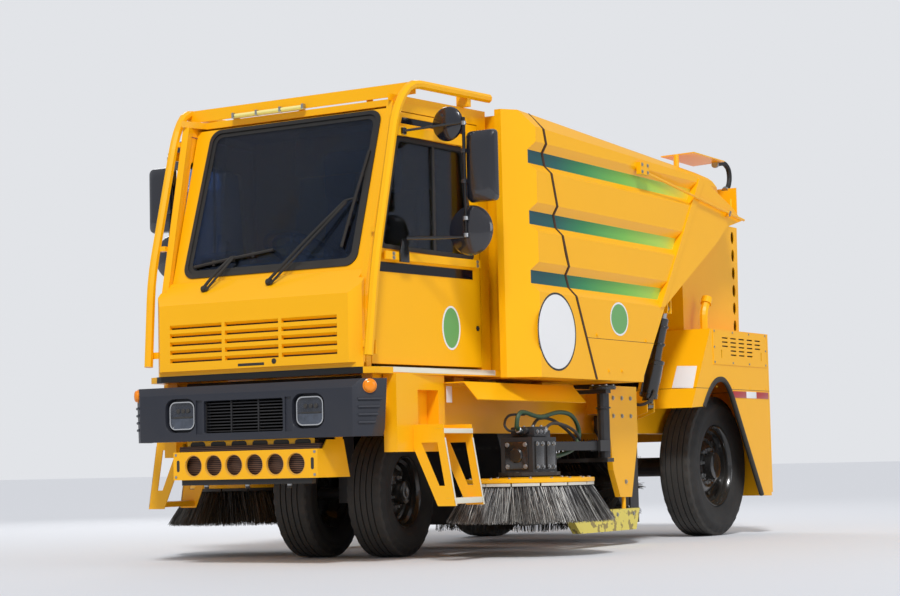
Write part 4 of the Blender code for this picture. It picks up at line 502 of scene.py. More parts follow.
def addBlock(shape, centre, half, bevel=0.0):
    # a box given by its centre and half its sizes
    return addBox(shape, centre - Vector(half), centre + Vector(half), bevel)


def addSlab(shape, loop, push, bevel=0.0):
    # a flat outline pushed along a vector, edges eased
    base = [shape.verts.new(Vector(point)) for point in loop]
    top = [shape.verts.new(Vector(point) + Vector(push)) for point in loop]
    shape.faces.new(base)
    shape.faces.new(list(reversed(top)))
    for index in range(len(loop)):
        after = (index + 1) % len(loop)
        shape.faces.new((base[index], top[index], top[after], base[after]))
    if bevel > 0.0:
        easeEdges(shape, [shape.edges.get((top[i], top[(i + 1) % len(top)])) for i in range(len(top))], bevel)
    return shape


def roundLoop(halfWide, halfHigh, radius, steps=5):
    loop = []
    for cx, cy, start in ((1, 1, 0), (-1, 1, 90), (-1, -1, 180), (1, -1, 270)):
        for step in range(steps + 1):
            angle = math.radians(start + 90 * step / steps)
            loop.append((cx * (halfWide - radius) + radius * math.cos(angle),
                         cy * (halfHigh - radius) + radius * math.sin(angle)))
    return loop


def axes(direction):
    direction = Vector(direction).normalized()
    across = direction.orthogonal().normalized()
    return across, direction.cross(across), direction


def circlePoint(centre, across, beside, radius, angle):
    return centre + (across * math.cos(angle) + beside * math.sin(angle)) * radius


def addLathe(shape, profile, centre, direction, steps=32):
    # profile is (distance along the axis, radius); the ends close on the axis or into a ring
    across, beside, axis = axes(direction)
    rings = []
    for along, radius in profile:
        middle = Vector(centre) + axis * along
        rings.append([shape.verts.new(middle)] if radius < 1e-6 else
                     [shape.verts.new(circlePoint(middle, across, beside, radius, fullTurn * k / steps))
                      for k in range(steps)])
    closed = len(rings[0]) > 1
    for index in range(len(rings) if closed else len(rings) - 1):
        first, second = rings[index], rings[(index + 1) % len(rings)]
        for k in range(steps):
            after = (k + 1) % steps
            corners = []
            for corner in (first[k % len(first)], first[after % len(first)],
                           second[after % len(second)], second[k % len(second)]):
                if corner not in corners:
                    corners.append(corner)
            if len(corners) > 2:
                shape.faces.new(corners)
    return shape


def addRod(shape, start, end, radius, steps=12):
    start, end = Vector(start), Vector(end)
    span = (end - start).length
    ease = radius * 0.12
    return addLathe(shape, [(0, 0), (0, radius - ease), (ease, radius), (span - ease, radius), (span, radius - ease),
                            (span, 0)], start, end - start, steps)


def smoothPath(points, per=6):
    points = [Vector(point) for point in points]
    held = [points[0] * 2 - points[1], *points, points[-1] * 2 - points[-2]]
    made = []
    for index in range(1, len(held) - 2):
        a, b, c, d = held[index - 1:index + 3]
        for step in range(per):
            t = step / per
            made.append(0.5 * (2 * b + (c - a) * t + (2 * a - 5 * b + 4 * c - d) * t * t
                               + (3 * b - a - 3 * c + d) * t ** 3))
    return made + [points[-1]]


def addTube(shape, points, radius, steps=10, smooth=True, per=6, flat=1.0):
    path = smoothPath(points, per) if smooth else [Vector(point) for point in points]
    side = (path[1] - path[0]).orthogonal().normalized()
    rings = []
    for index, place in enumerate(path):
        ahead = (path[min(index + 1, len(path) - 1)] - path[max(index - 1, 0)]).normalized()
        side = (side - ahead * side.dot(ahead)).normalized()
        other = ahead.cross(side)
        rings.append([shape.verts.new(place + side * math.cos(fullTurn * k / steps) * radius
                      + other * math.sin(fullTurn * k / steps) * radius * flat) for k in range(steps)])
    for first, second in zip(rings, rings[1:]):
        bridge(shape, first, second)
    capEnds(shape, rings)
    return shape


def ringOf(outer, inner, push):
    # frame between two loops with the same count, given a thickness
    shape = bmesh.new()
    push = Vector(push)
    rows = [[shape.verts.new(Vector(point) + lift) for point in loop] for loop, lift in
            ((outer, push * 0), (outer, push), (inner, push), (inner, push * 0))]
    for row in range(4):
        bridge(shape, rows[row], rows[(row + 1) % 4])
    return shape


def pointMesh(name, spots):
    # bare points, each with the way it faces and a length
    mesh = bpy.data.meshes.new(name)
    mesh.from_pydata([tuple(spot[0]) for spot in spots], [], [])
    mesh.attributes.new("facing", "FLOAT_VECTOR", "POINT")
    mesh.attributes.new("reach", "FLOAT", "POINT")
    facing, reach = mesh.attributes["facing"], mesh.attributes["reach"]
    for index, spot in enumerate(spots):
        facing.data[index].vector = Vector(spot[1]).normalized()
        reach.data[index].value = spot[2] if len(spot) > 2 else 1.0
    return placed(name, mesh)


def treeStart(name, inputs):
    tree = bpy.data.node_groups.new(name, "GeometryNodeTree")
    tree.interface.new_socket(name="Geometry", in_out="INPUT", socket_type="NodeSocketGeometry")
    for label, kind, value in (*inputs, ("Finish", "NodeSocketMaterial", None)):
        made = tree.interface.new_socket(name=label, in_out="INPUT", socket_type=kind)
        if value is not None:
            made.default_value = value
    tree.interface.new_socket(name="Geometry", in_out="OUTPUT", socket_type="NodeSocketGeometry")
    return tree, addNode(tree, "NodeGroupInput").outputs, addNode(tree, "NodeGroupOutput")


def treeEnd(tree, given, result, geometry):
    real = addNode(tree, "GeometryNodeRealizeInstances", {0: geometry})
    dressed = addNode(tree, "GeometryNodeSetMaterial", {"Geometry": real.outputs[0], "Material": given["Finish"]})
    feed(tree, result.inputs[0], dressed.outputs[0])
    return tree


def namedValue(tree, name, kind):
    return addNode(tree, "GeometryNodeInputNamedAttribute", {"Name": name}, data_type=kind).outputs["Attribute"]


def standOnPoints(tree, given, stood):
    turned = addNode(tree, "FunctionNodeAlignRotationToVector",
                     {"Vector": namedValue(tree, "facing", "FLOAT_VECTOR")},
                     axis="Z")
    return addNode(tree, "GeometryNodeInstanceOnPoints", {"Points": given["Geometry"], "Instance": stood,
                                                          "Rotation": turned.outputs[0]})


def makeBoltTree():
    # hex heads on round washers, stood on points
    tree, given, result = treeStart("boltHeads", (("Head", "NodeSocketFloat", 0.008),
                                                  ("Deep", "NodeSocketFloat", 0.006)))
    hexHead = addNode(tree, "GeometryNodeMeshCylinder", {"Vertices": 6, "Radius": given["Head"],
                                                         "Depth": given["Deep"]})
    washer = addNode(tree, "GeometryNodeMeshCylinder", {"Vertices": 12, "Radius": times(tree, given["Head"], 1.45),
                                                        "Depth": times(tree, given["Deep"], 0.4)})
    lift = addNode(tree, "ShaderNodeCombineXYZ", {"Z": times(tree, given["Deep"], 0.65)})
    lifted = addNode(tree, "GeometryNodeTransform", {"Geometry": hexHead.outputs["Mesh"],
                                                     "Translation": lift.outputs[0]})
    both = addNode(tree, "GeometryNodeJoinGeometry", {0: lifted.outputs[0]})
    feed(tree, both.inputs[0], washer.outputs["Mesh"])
    return treeEnd(tree, given, result, standOnPoints(tree, given, both.outputs[0]).outputs[0])


def makeBristleTree():
    # tapering wires, each as long as its point says, a little out of line with its neighbours
    tree, given, result = treeStart("bristleRows", (("Thick", "NodeSocketFloat", 0.0022),
                                                    ("Stray", "NodeSocketFloat", 0.09),
                                                    ("Seed", "NodeSocketInt", 3)))
    cone = addNode(tree, "GeometryNodeMeshCone", {"Vertices": 3, "Depth": 1.0, "Radius Bottom": given["Thick"],
                                                  "Radius Top": times(tree, given["Thick"], 0.45)})
    spread = standOnPoints(tree, given, cone.outputs["Mesh"])
    size = addNode(tree, "ShaderNodeCombineXYZ", {0: 1.0, 1: 1.0, 2: namedValue(tree, "reach", "FLOAT")})
    feed(tree, spread.inputs["Scale"], size.outputs[0])
    stray = addNode(tree, "FunctionNodeRandomValue", {"Min": times(tree, given["Stray"], -1.0), "Max": given["Stray"],
                                                      "Seed": given["Seed"]}, data_type="FLOAT_VECTOR")
    toTurn = addNode(tree, "FunctionNodeEulerToRotation", {0: stray.outputs["Value"]})
    bent = addNode(tree, "GeometryNodeRotateInstances", {"Instances": spread.outputs[0],
                                                         "Rotation": toTurn.outputs[0]})
    return treeEnd(tree, given, result, bent.outputs[0])


boltTree, bristleTree = makeBoltTree(), makeBristleTree()


def evaluatedMesh(source, keepLayers=False):
    depsgraph = bpy.context.evaluated_depsgraph_get()
    return bpy.data.meshes.new_from_object(source.evaluated_get(depsgraph), preserve_all_data_layers=keepLayers,
                                           depsgraph=depsgraph)


def settle(source, tree, name, body, slotName, **values):
    # runs a tree on an object and keeps the outcome as a plain mesh
    modifier = source.modifiers.new(tree.name, "NODES")
    modifier.node_group = tree
    for item in tree.interface.items_tree:
        if item.in_out == "INPUT" and item.name in values:
            modifier[item.identifier] = values[item.name]
    made = placed(name, evaluatedMesh(source, True))
    bpy.data.objects.remove(source)
    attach(made, body)
    return made


def bolts(name, spots, finish, body, head=0.008, deep=0.006):
    return settle(pointMesh(name + "Points", spots), boltTree, name, body, None, Head=head, Deep=deep,
                  Finish=paints[finish])


# places on the slanted cab side and on the windshield
def flankOut(side):
    return Vector((side * math.cos(cabSlope), -math.sin(cabSlope), 0.0))


def flankPoint(side, along, height, out=0.0):
    x = 0.748 + along * math.sin(cabSlope) + out * math.cos(cabSlope)
    return at(side * x, 0.180 + along * math.cos(cabSlope) - out * math.sin(cabSlope), height)


def flankSlab(shape, side, loop, out, thick, bevel=0.0):
    return addSlab(shape, [flankPoint(side, a, b, out) for a, b in loop], flankOut(side) * thick, bevel)


def rectangle(low, high, foot, top):
    return ((low, foot), (high, foot), (high, top), (low, top))


def screenPoint(across, rise, out=0.0):
    return at(across, 0.272 + 0.3119 * rise - 0.9501 * out, 1.732 + 0.9501 * rise + 0.3119 * out)


sides = ((1, "left"), (-1, "right"))
print("tools ready")


def mirrored(side):
    # places on one side of the truck, with x counted outwards
    return lambda x, y, z: at(side * x, y, z)


def addBoxes(shape, *table):
    # boxes as (low corner, high corner, eased edge)
    for low, high, bevel in table:
        addBox(shape, at(*low), at(*high), bevel)
    return shape


def addPath(shape, place, points, *sizes):
    return addTube(shape, [place(*point) for point in points], *sizes)


# wheels: ribbed tyres on deep black discs
wheelSets = {
    "guide": {"along": 1.148, "z": 0.398, "radius": 0.398, "rim": 0.222, "half": 0.115, "bulge": 0.013,
              "turn": math.radians(7.2), "centre": 0.2545, "grooves": (-0.058, -0.020, 0.020, 0.058), "nuts": 6},
    "drive": {"along": 4.368, "z": 0.508, "radius": 0.508, "rim": 0.296, "half": 0.1185, "bulge": 0.022,
              "turn": 0.0, "centre": 0.9275, "grooves": (-0.066, -0.024, 0.024, 0.066), "nuts": 8},
}
treadCut = {"steps": 132, "wide": 0.0045, "deep": 0.011, "notch": 0.007}


def makeWheel(kind, side, word, body):
    spec = wheelSets[kind]
    hub = at(side * spec["centre"], spec["along"], spec["z"])
    pivot = at(0.0, spec["along"], spec["z"])
    spin = Matrix.Rotation(spec["turn"], 4, "Z")
    half, radius, rim, bulge = (spec[key] for key in ("half", "radius", "rim", "bulge"))
    steps, wide, deep, notch = (treadCut[key] for key in ("steps", "wide", "deep", "notch"))
    title = word + kind.title()

    def place(sideways, distance, angle):
        point = hub + Vector((side * sideways, distance * math.sin(angle), distance * math.cos(angle)))
        return pivot + spin @ (point - pivot)

    wall = radius - rim
    outline = [(half * 0.80, rim + 0.0004, 0), (half * 0.95, rim + 0.010, 0)]
    outline += [(half + bulge * out, rim + wall * up, 0) for out, up in
                ((0.55, 0.26), (0.96, 0.46), (0.92, 0.60), (0.98, 0.61), (0.80, 0.76))]
    outline += [(half * 1.02, radius - 0.030, 1), (half * 0.985, radius - 0.012, 1), (half * 0.90, radius - 0.002, 0)]
    crown = []
    for groove in reversed(spec["grooves"]):
        crown += [(groove + wide, radius, 0), (groove + wide * 0.6, radius - deep, 0),
                  (groove - wide * 0.6, radius - deep, 0), (groove - wide, radius, 0)]
    outline = outline + crown + [(-a, b, c) for a, b, c in reversed(outline)]
    shape = bmesh.new()
    layer = shape.verts.layers.float.new("reach")
    rows = []
    for sideways, distance, notched in outline:
        ring = []
        for k in range(steps):
            drop = notch if notched and k % 4 > 1 else 0.0
            inwards = drop * 0.8 if sideways > 0 else -drop * 0.8
            corner = shape.verts.new(place(sideways - inwards, distance - drop * 0.4, fullTurn * k / steps))
            corner[layer] = distance / radius
            ring.append(corner)
        rows.append(ring)
    for index, row in enumerate(rows):
        bridge(shape, row, rows[(index + 1) % len(rows)])
    tyre = newPiece(title + "TyreTread", shape, "treadRubber", body, "tyre_rubber", 50.0)
    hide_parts(word + "_" + kind + "_tyre")

    # deep dish with a turned rim, a raised hub and a cap
    axle = spin.to_3x3() @ Vector((side, 0, 0))
    outer = half * 0.86
    profile = [(-half * 0.1, 0.0), (-half * 0.1, rim * 0.62), (-half * 0.5, rim - 0.050),
               (-outer + 0.004, rim - 0.014),
               (-outer, rim - 0.001), (outer, rim - 0.001), (outer + 0.003, rim - 0.006),
               (outer - 0.004, rim - 0.014),
               (half * 0.55, rim - 0.020), (half * 0.45, rim - 0.038), (half * 0.18, rim - 0.046)]
    profile += [(half * out, rim * up) for out, up in
                ((0.10, 0.70), (0.26, 0.62), (0.34, 0.46), (0.30, 0.42), (0.34, 0.36), (0.86, 0.32), (0.90, 0.29),
                 (0.90, 0.10), (0.86, 0.0))]
    disc = newPiece(title + "WheelDisc", addLathe(bmesh.new(), profile, place(0.0, 0.0, 0.0), axle, 56), "glossBlack",
                    body, "black_paint", 40.0)
    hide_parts(word + "_" + kind + "_rim")
    angles = [fullTurn * k / spec["nuts"] + 0.2 for k in range(spec["nuts"])]
    bolts(title + "Nuts", [(place(half * 0.345, rim * 0.41, angle), axle) for angle in angles], "steelPlain", body,
          rim * 0.036, 0.018)
    shape = bmesh.new()
    for angle in angles:
        spot = place(half * 0.20, rim * 0.66, angle + math.pi / spec["nuts"])
        addLathe(shape, [(-0.004, 0), (-0.004, rim * 0.062), (0.004, rim * 0.066), (0.0045, rim * 0.050),
                         (0.001, rim * 0.048), (0.001, 0)], spot, axle, 16)
    newPiece(title + "HandHoles", shape, "sealRubber", body)


for side, word in sides:
    makeWheel("guide", side, word, "guide_wheels")
    makeWheel("drive", side, word, word + "_drive_wheel")
print("wheels made")

# brooms: fans of wire below a yellow ring, and the wide pickup broom
fanSpec = {"x": 1.080, "along": 1.460, "plateTop": 0.474, "plateLow": 0.440, "ring": 0.398, "wires": 6200,
           "tip": 0.512,
           "tipZ": 0.198, "blocks": 14}


def makeFan(side, word, wireFinish, blockFinish, seed):
    rng = random.Random(seed)
    centre = at(side * fanSpec["x"], fanSpec["along"], 0.0)

    def around(distance, angle, z):
        return centre + Vector((distance * math.cos(angle), distance * math.sin(angle), z))

    spots = []
    for _ in range(fanSpec["wires"]):
        angle = rng.uniform(0, fullTurn)
        root = rng.choice((0.378, 0.360, 0.335, 0.300, 0.265)) + rng.uniform(-0.010, 0.010)
        tip = fanSpec["tip"] - (0.378 - root) * 1.15 + rng.uniform(-0.035, 0.006)
        swirl = rng.uniform(-0.07, 0.07) + 0.05
        start = around(root, angle, 0.418)
        end = around(tip, angle + swirl, fanSpec["tipZ"] + rng.uniform(0, 0.022))
        spots.append((start, end - start, (end - start).length))
    body = word + "_brush"
    fan = settle(pointMesh(word + "FanPoints", spots), bristleTree, word + "FanWires", body, "bristle_steel",
                 Thick=0.0021, Stray=0.02, Seed=seed, Finish=paints[wireFinish])
    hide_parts(word + "_gutter_broom")
    top, low, ring = fanSpec["plateTop"], fanSpec["plateLow"], fanSpec["ring"]
    plate = [(low, 0.0), (low, ring - 0.004), (low + 0.004, ring), (top - 0.012, ring), (top - 0.008, ring - 0.004),
             (top - 0.008, ring - 0.052), (top - 0.004, ring - 0.060), (top - 0.004, 0.190), (top, 0.182), (top, 0.0)]
    newPiece(word + "FanPlate", addLathe(bmesh.new(), plate, centre, (0, 0, 1), 72), "bodyYellow", body,
             "yellow_paint",
             30.0)
    # moulded blocks that hold the wires, with dark gaps between them
    blocks = bmesh.new()
    for k in range(fanSpec["blocks"]):
        a0, a1 = (fullTurn * (k + share) / fanSpec["blocks"] for share in (0.03, 0.97))
        loop = [around(ring - 0.004, a, 0.422) for a in
                (a0, a0 * 0.75 + a1 * 0.25, (a0 + a1) / 2, a0 * 0.25 + a1 * 0.75, a1)]
        addSlab(blocks, loop + [around(0.235, a, 0.422) for a in (a1, a0)], (0, 0, 0.0175), 0.002)
    newPiece(word + "FanBlocks", blocks, blockFinish, body)
    core = addLathe(bmesh.new(), [(0.412, 0.23), (0.412, ring - 0.030), (0.438, ring - 0.030), (0.438, 0.23)], centre,
                    (0, 0, 1), 60)
    newPiece(word + "FanCore", core, "boxBlack", body)
    spots = [(around(0.368, fullTurn * k / 18, top - 0.008), (0, 0, 1)) for k in range(18)]
    spots += [(around(0.225, fullTurn * k / 6, top - 0.004), (0, 0, 1)) for k in range(6)]
    bolts(word + "FanBolts", spots, "steelPlain", body, 0.009, 0.006)


makeFan(1, "left", "leftWire", "blockGrey", 11)
makeFan(-1, "right", "darkWire", "boxBlack", 12)

broomSpec = {"along": 3.420, "z": 0.390, "radius": 0.338, "half": 0.764, "wires": 5200, "core": 0.150, "rows": 10,
             "twist": 1.3}


def makeMainBroom():
    rng = random.Random(21)
    core, half, around = broomSpec["core"], broomSpec["half"], broomSpec["rows"]
    spots = []
    for index in range(broomSpec["wires"]):
        x = rng.uniform(-half + 0.004, half - 0.004)
        angle = fullTurn * (index % around) / around + x * broomSpec["twist"] + rng.uniform(-0.10, 0.10)
        out = Vector((rng.uniform(-0.02, 0.02), math.sin(angle), math.cos(angle)))
        start = at(x, broomSpec["along"], broomSpec["z"]) + out * (core - 0.01)
        spots.append((start, out, broomSpec["radius"] - core - rng.uniform(-0.004, 0.012)))
    rows = settle(pointMesh("pickupPoints", spots), bristleTree, "pickupBroomWires", "pickup_broom", "bristle_steel",
                  Thick=0.0028, Stray=0.01, Seed=5, Finish=paints["darkWire"])
    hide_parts("main_broom")
    profile = [(-half, 0.0), (-half, core - 0.006), (-half + 0.006, core), (half - 0.006, core), (half, core - 0.006),
               (half, 0.0)]
    shape = addLathe(bmesh.new(), profile, at(0, broomSpec["along"], broomSpec["z"]), (1, 0, 0), 40)
    newPiece("pickupBroomCore", shape, "boxBlack", "pickup_broom")


makeMainBroom()
print("brooms made")

# broom drive: motor blocks, fittings and hoses that ride on the lifting arms
greenHose = ((1.08, 1.355, 0.755), (1.09, 1.300, 0.790), (1.10, 1.340, 0.868), (1.11, 1.560, 0.842),
             (1.11, 1.800, 0.872),
             (1.10, 2.000, 0.850), (1.09, 2.110, 0.750), (1.09, 2.040, 0.650), (1.08, 1.860, 0.605),
             (1.07, 1.760, 0.600))
blackHoses = (  # radius, then the way it runs
    (0.010, ((1.14, 1.545, 0.760), (1.15, 1.640, 0.800), (1.15, 1.800, 0.790), (1.14, 1.960, 0.750),
             (1.12, 2.060, 0.700))),
    (0.010, ((1.05, 1.545, 0.760), (1.04, 1.660, 0.830), (1.03, 1.850, 0.830), (1.03, 2.040, 0.770),
             (1.05, 2.140, 0.700))),
    (0.008, ((1.05, 1.355, 0.755), (1.03, 1.300, 0.760), (1.01, 1.290, 0.800), (1.00, 1.370, 0.852),
             (1.00, 1.560, 0.860))),
)
hoseEnds = (((1.08, 1.350, 0.757), (0, -1, 0.3)), ((1.14, 1.545, 0.760), (0, 1, 0.3)),
            ((1.05, 1.545, 0.760), (0, 1, 0.4)), ((1.07, 1.765, 0.600), (0, -1, 0)))
for side, word in sides:
    arm, on, out, up = word + "_lift_arm", mirrored(side), (side, 0, 0), (0, 0, 1)
    shape = bmesh.new()
    head, block = on(1.080, 1.460, 0.745), on(1.10, 1.60, 0.700)
    addBox(shape, head - Vector((0.085, 0.075, 0.030)), head + Vector((0.085, 0.075, 0.035)), 0.012)
    addRod(shape, on(1.080, 1.460, 0.700), on(1.080, 1.460, 0.716), 0.100, 24)
    addBox(shape, block - Vector((0.030, 0.050, 0.0)), block + Vector((0.030, 0.050, 0.060)), 0.006)
    for x in (1.05, 1.11):
        addRod(shape, on(x, 1.385, 0.755), on(x, 1.355, 0.755), 0.020, 12)
    newPiece(word + "BroomMotorHead", shape, "chassisBlack", arm, "black_paint")
    shape = bmesh.new()
    addLathe(shape, [(0.4775, 0.0), (0.4775, 0.165), (0.482, 0.170), (0.490, 0.170), (0.494, 0.164), (0.494, 0.130),
                     (0.506, 0.118), (0.506, 0.0)], on(1.080, 1.460, 0.0), up, 48)
    for dy in (-0.070, 0.070):
        addBlock(shape, on(1.192, 1.460 + dy, 0.605), (0.006, 0.050, 0.085), 0.004)
    addBlock(shape, on(1.080, 1.308, 0.605), (0.080, 0.006, 0.085), 0.005)
    addLathe(shape, [(0.0, 0), (0.0, 0.045), (0.010, 0.045), (0.016, 0.038), (0.016, 0)], on(1.080, 1.304, 0.605),
             (0, -1, 0), 28)
    newPiece(word + "BroomFlange", shape, "glossBlack", arm, "black_paint")
    spots = [(on(1.080 + 0.150 * math.cos(0.785 * k), 1.460 + 0.150 * math.sin(0.785 * k), 0.496), up)
             for k in range(8)]
    spots += [(on(1.080 + dx, 1.3020, 0.605 + dz), (0, -1, 0)) for dx in (-0.062, 0.062) for dz in (-0.066, 0.066)]
    spots += [(on(1.1982, 1.460 + dy, 0.605 + dz), out) for dy in (-0.105, -0.036, 0.036, 0.105)
              for dz in (-0.070, 0.070)]
    bolts(word + "FlangeBolts", spots, "steelPlain", arm, 0.010, 0.008)
    spots = [(on(1.080 + dx, 1.460 + dy, 0.780), up) for dx in (-0.060, 0.060) for dy in (-0.052, 0.052)]
    spots += [(on(1.168, 1.460 + dy, 0.750), out) for dy in (-0.045, 0.0, 0.045)]
    bolts(word + "MotorBolts", spots, "steelPlain", arm, 0.009, 0.008)
    newPiece(word + "BroomHoseGreen", addPath(bmesh.new(), on, greenHose, 0.014, 10), "hoseGreen", arm)
    shape = bmesh.new()
    for radius, points in blackHoses:
        addPath(shape, on, points, radius, 8)
    newPiece(word + "BroomHoses", shape, "sealRubber", arm)
    shape = bmesh.new()
    for spot, facing in hoseEnds:
        addLathe(shape, [(-0.020, 0), (-0.020, 0.017), (0.0, 0.018), (0.004, 0.021), (0.020, 0.021), (0.024, 0.014),
                         (0.024, 0)], on(*spot), facing, 8)
    newPiece(word + "HoseEnds", shape, "steelPlain", arm)
print("broom drives made")

# bumper: one moulded bar with slanted ends, pockets for the lamps and a slotted middle
bumperSpec = {"half": 0.767, "end": 0.910, "back": 0.143, "low": 0.731, "high": 1.056, "thick": 0.085, "ease": 0.007}


def makeBumper():
    half, end, back, low, high, thick = (bumperSpec[key] for key in ("half", "end", "back", "low", "high", "thick"))
    plan = ((-half, 0.0), (half, 0.0), (end, back), (end - 0.060, back + 0.060), (half - 0.035, thick),
            (-half + 0.035, thick), (-end + 0.060, back + 0.060), (-end, back))
    body = meshObject("looseShape", addSlab(bmesh.new(), [at(x, y, low) for x, y in plan], (0, 0, high - low)))
    topEase = ((-0.05, high - 0.050), (-0.0005, high - 0.050), (0.040, high + 0.001), (0.040, high + 0.05),
               (-0.05, high + 0.05))
    endSlant = ((end + 0.001, high + 0.01), (end + 0.001, low - 0.01), (end - 0.070, low - 0.01))
    cuts = [([at(-1.2, y, z) for y, z in topEase], (2.4, 0, 0))]
    for side in (1, -1):
        lamp = [at(side * 0.462 + u, -0.1, 0.884 + v) for u, v in roundLoop(0.112, 0.100, 0.060)]
        step = [at(side * x, -0.1, z) for x, z in rectangle(0.300, 0.345, 0.770, 0.970)]  # shallow, beside each lamp
        cuts += [([at(side * x, -0.1, z) for x, z in endSlant], (0, 0.5, 0)), (lamp, (0, 0.157, 0)),
                 (step, (0, 0.112, 0))]
    cuts.append(([at(u, -0.1, 0.870 + v) for u, v in roundLoop(0.285, 0.095, 0.012)], (0, 0.160, 0)))
    holders = []
    for loop, push in cuts:
        holders.append(meshObject("looseShape", addSlab(bmesh.new(), loop, push)))
        cutting = body.modifiers.new("cut", "BOOLEAN")
        cutting.operation, cutting.solver, cutting.object = "DIFFERENCE", "EXACT", holders[-1]
    easing = body.modifiers.new("ease", "BEVEL")
    easing.width, easing.segments = bumperSpec["ease"], 3
    easing.limit_method, easing.angle_limit = "ANGLE", math.radians(24)
    done = bmesh.new()
    done.from_mesh(evaluatedMesh(body))
    for extra in (body, *holders):
        bpy.data.objects.remove(extra)
    made = newPiece("mouldedBumper", done, "bumperBlue", "truck", "bumper_paint", 30.0)
    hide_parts("front_bumper")


makeBumper()

# headlamps, marker lenses, bumper ribs and the cooler behind the lower guard
lampSpec = {"x": 0.462, "z": 0.884, "half": 0.0930, "high": 0.0830, "corner": 0.042, "rim": 0.0065}


def frontLoop(centre, halfWide, halfHigh, corner, along):
    return [at(centre[0] + u, along, centre[1] + v) for u, v in roundLoop(halfWide, halfHigh, corner)]


for side, word in sides:
    cx, cz = middle = side * lampSpec["x"], lampSpec["z"]
    wide, high, corner, rim = (lampSpec[key] for key in ("half", "high", "corner", "rim"))
    inner = (wide - rim, high - rim, corner - 0.005)
    bezel = ringOf(frontLoop(middle, wide, high, corner, 0.017), frontLoop(middle, *inner, 0.017), (0, 0.050, 0))
    ring = newPiece(word + "LampBezel", bezel, "chromeTrim", "truck", "lamp_glass")
    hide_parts(word + "_headlamp")
    shape = addSlab(bmesh.new(), frontLoop(middle, *inner, 0.030), (0, 0.018, 0))
    newPiece(word + "LampFace", shape, "lampFace", "truck", "lamp_glass")
    shape = addBoxes(bmesh.new(), ((cx - 0.066, 0.026, cz - 0.014), (cx + 0.066, 0.033, cz - 0.006), 0.003))
    for dx in (-0.036, 0.0, 0.036):
        addRod(shape, at(cx + dx, 0.032, cz + 0.028), at(cx + dx, 0.024, cz + 0.028), 0.013, 16)
    newPiece(word + "LampInner", shape, "boxBlack")
    shape = addSlab(bmesh.new(), frontLoop(middle, 0.108, 0.093, 0.066, 0.058), (0, 0.020, 0))
    newPiece(word + "LampPocket", shape, "boxBlack")
    out = Vector((side, -1.0, 0.0)).normalized()
    shape = addLathe(bmesh.new(), [(0.0, 0), (0.0, 0.0405), (0.006, 0.0405), (0.008, 0.036), (0.016, 0.0345),
                                   (0.022, 0.029),
                                   (0.0255, 0.018), (0.0265, 0)], at(side * 0.8385, 0.0715, 1.014) - out * 0.001, out,
                     28)
    newPiece(word + "MarkerLens", shape, "amberLens", "truck", "lamp_glass")
    shape = bmesh.new()
    for row in range(4):
        height = 0.940 - row * 0.044
        start, stop = at(side * 0.790, 0.023, height), at(side * (0.888 - row * 0.009), 0.121 - row * 0.009, height)
        addRod(shape, start + out * 0.001, stop + out * 0.001, 0.0085, 10)
    newPiece(word + "BumperRibs", shape, "bumperBlue", "truck", "bumper_paint")

# grille bars darker than the bumper: black, plus painted shade of the recess
bars = [0.7815 + row * 0.0182 for row in range(10)]
shape = addBoxes(bmesh.new(), *(((-0.283, 0.022, foot), (0.283, 0.032, foot + 0.0072), 0.0025) for foot in bars),
                 *(((x - 0.005, 0.018, 0.776), (x + 0.005, 0.034, 0.964), 0.003)
                   for x in (-0.285, -0.098, 0.098, 0.285)))
newPiece("bumperGrille", shape, "grilleBlackAndShade", "truck", "bumper_paint")
shape = bmesh.new()
for index in range(6):
    addLathe(shape, [(0.0, 0.0650), (0.0, 0.0605), (0.006, 0.0590), (0.014, 0.0590), (0.014, 0.0622)],
             at((index - 2.5) * 0.148, 0.0026, 0.586), (0, 1, 0), 36)
newPiece("guardHoleEdges", shape, "shadedYellow")
shape = bmesh.new()
for x in (-0.300, 0.0, 0.300):
    addLathe(shape, [(0.0, 0), (0.0, 0.0145), (-0.012, 0.0145), (-0.014, 0.010), (-0.024, 0.008), (-0.024, 0)],
             at(x, 0.0375, 0.4745), (0, 0, 1), 12)
newPiece("sprayNozzles", shape, "steelPlain")
bolts("guardBolts", [(at(x, 0.0050, z), (0, -1, 0)) for x in (-0.500, 0.500) for z in (0.522, 0.652)], "steelPlain",
      "truck", 0.009, 0.0035)

# plain plates: grille back, cooler, a black plate behind the bumper as painted shade of the gap under the cab, strip
# above the guard, filter behind the nose louvres
for name, low, high, bevel, finish, slotName in (
        ("bumperGrilleBack", (-0.284, 0.060, 0.776), (0.284, 0.064, 0.964), 0.001, "sealRubber", None),
        ("oilCooler", (-0.505, 0.045, 0.515), (0.505, 0.085, 0.700), 0.004, "coolerFins", None),
        # black plate behind the bumper: painted shade of the gap under the cab
        ("frontGapShadePlate", (-0.640, 0.290, 0.780), (0.640, 0.300, 1.086), 0.002, "sealRubber", None),
        ("guardUpperStrip", (-0.460, 0.062, 0.676), (0.460, 0.068, 0.745), 0.001, "bodyYellow", "yellow_paint"),
        ("noseFilter", (-0.625, 0.126, 1.198), (0.625, 0.136, 1.440), 0.002, "coolerFins", None),
        ("framePlate", (0.8500, 0.880, 0.930), (0.8515, 0.944, 1.028), 0.0004, "signWhite", None)):
    newPiece(name, addBoxes(bmesh.new(), (low, high, bevel)), finish, "truck", slotName)
# black slabs for the holes and slots in the guard: painted shade inside the openings
for name, middles, size in (("guardStripHoles", [(-0.380 + 0.152 * k, 0.0612, 0.706) for k in range(6)],
                             (0.056, 0.021, 0.020)),
                            ("guardEndSlots", [(x, 0.0032, 0.586) for x in (-0.484, 0.484)],
                             (0.0105, 0.034, 0.0100))):
    shape = bmesh.new()
    for x, y, z in middles:
        addSlab(shape, frontLoop((x, z), *size, y), (0, 0.0006, 0))
    newPiece(name, shape, "sealRubber")
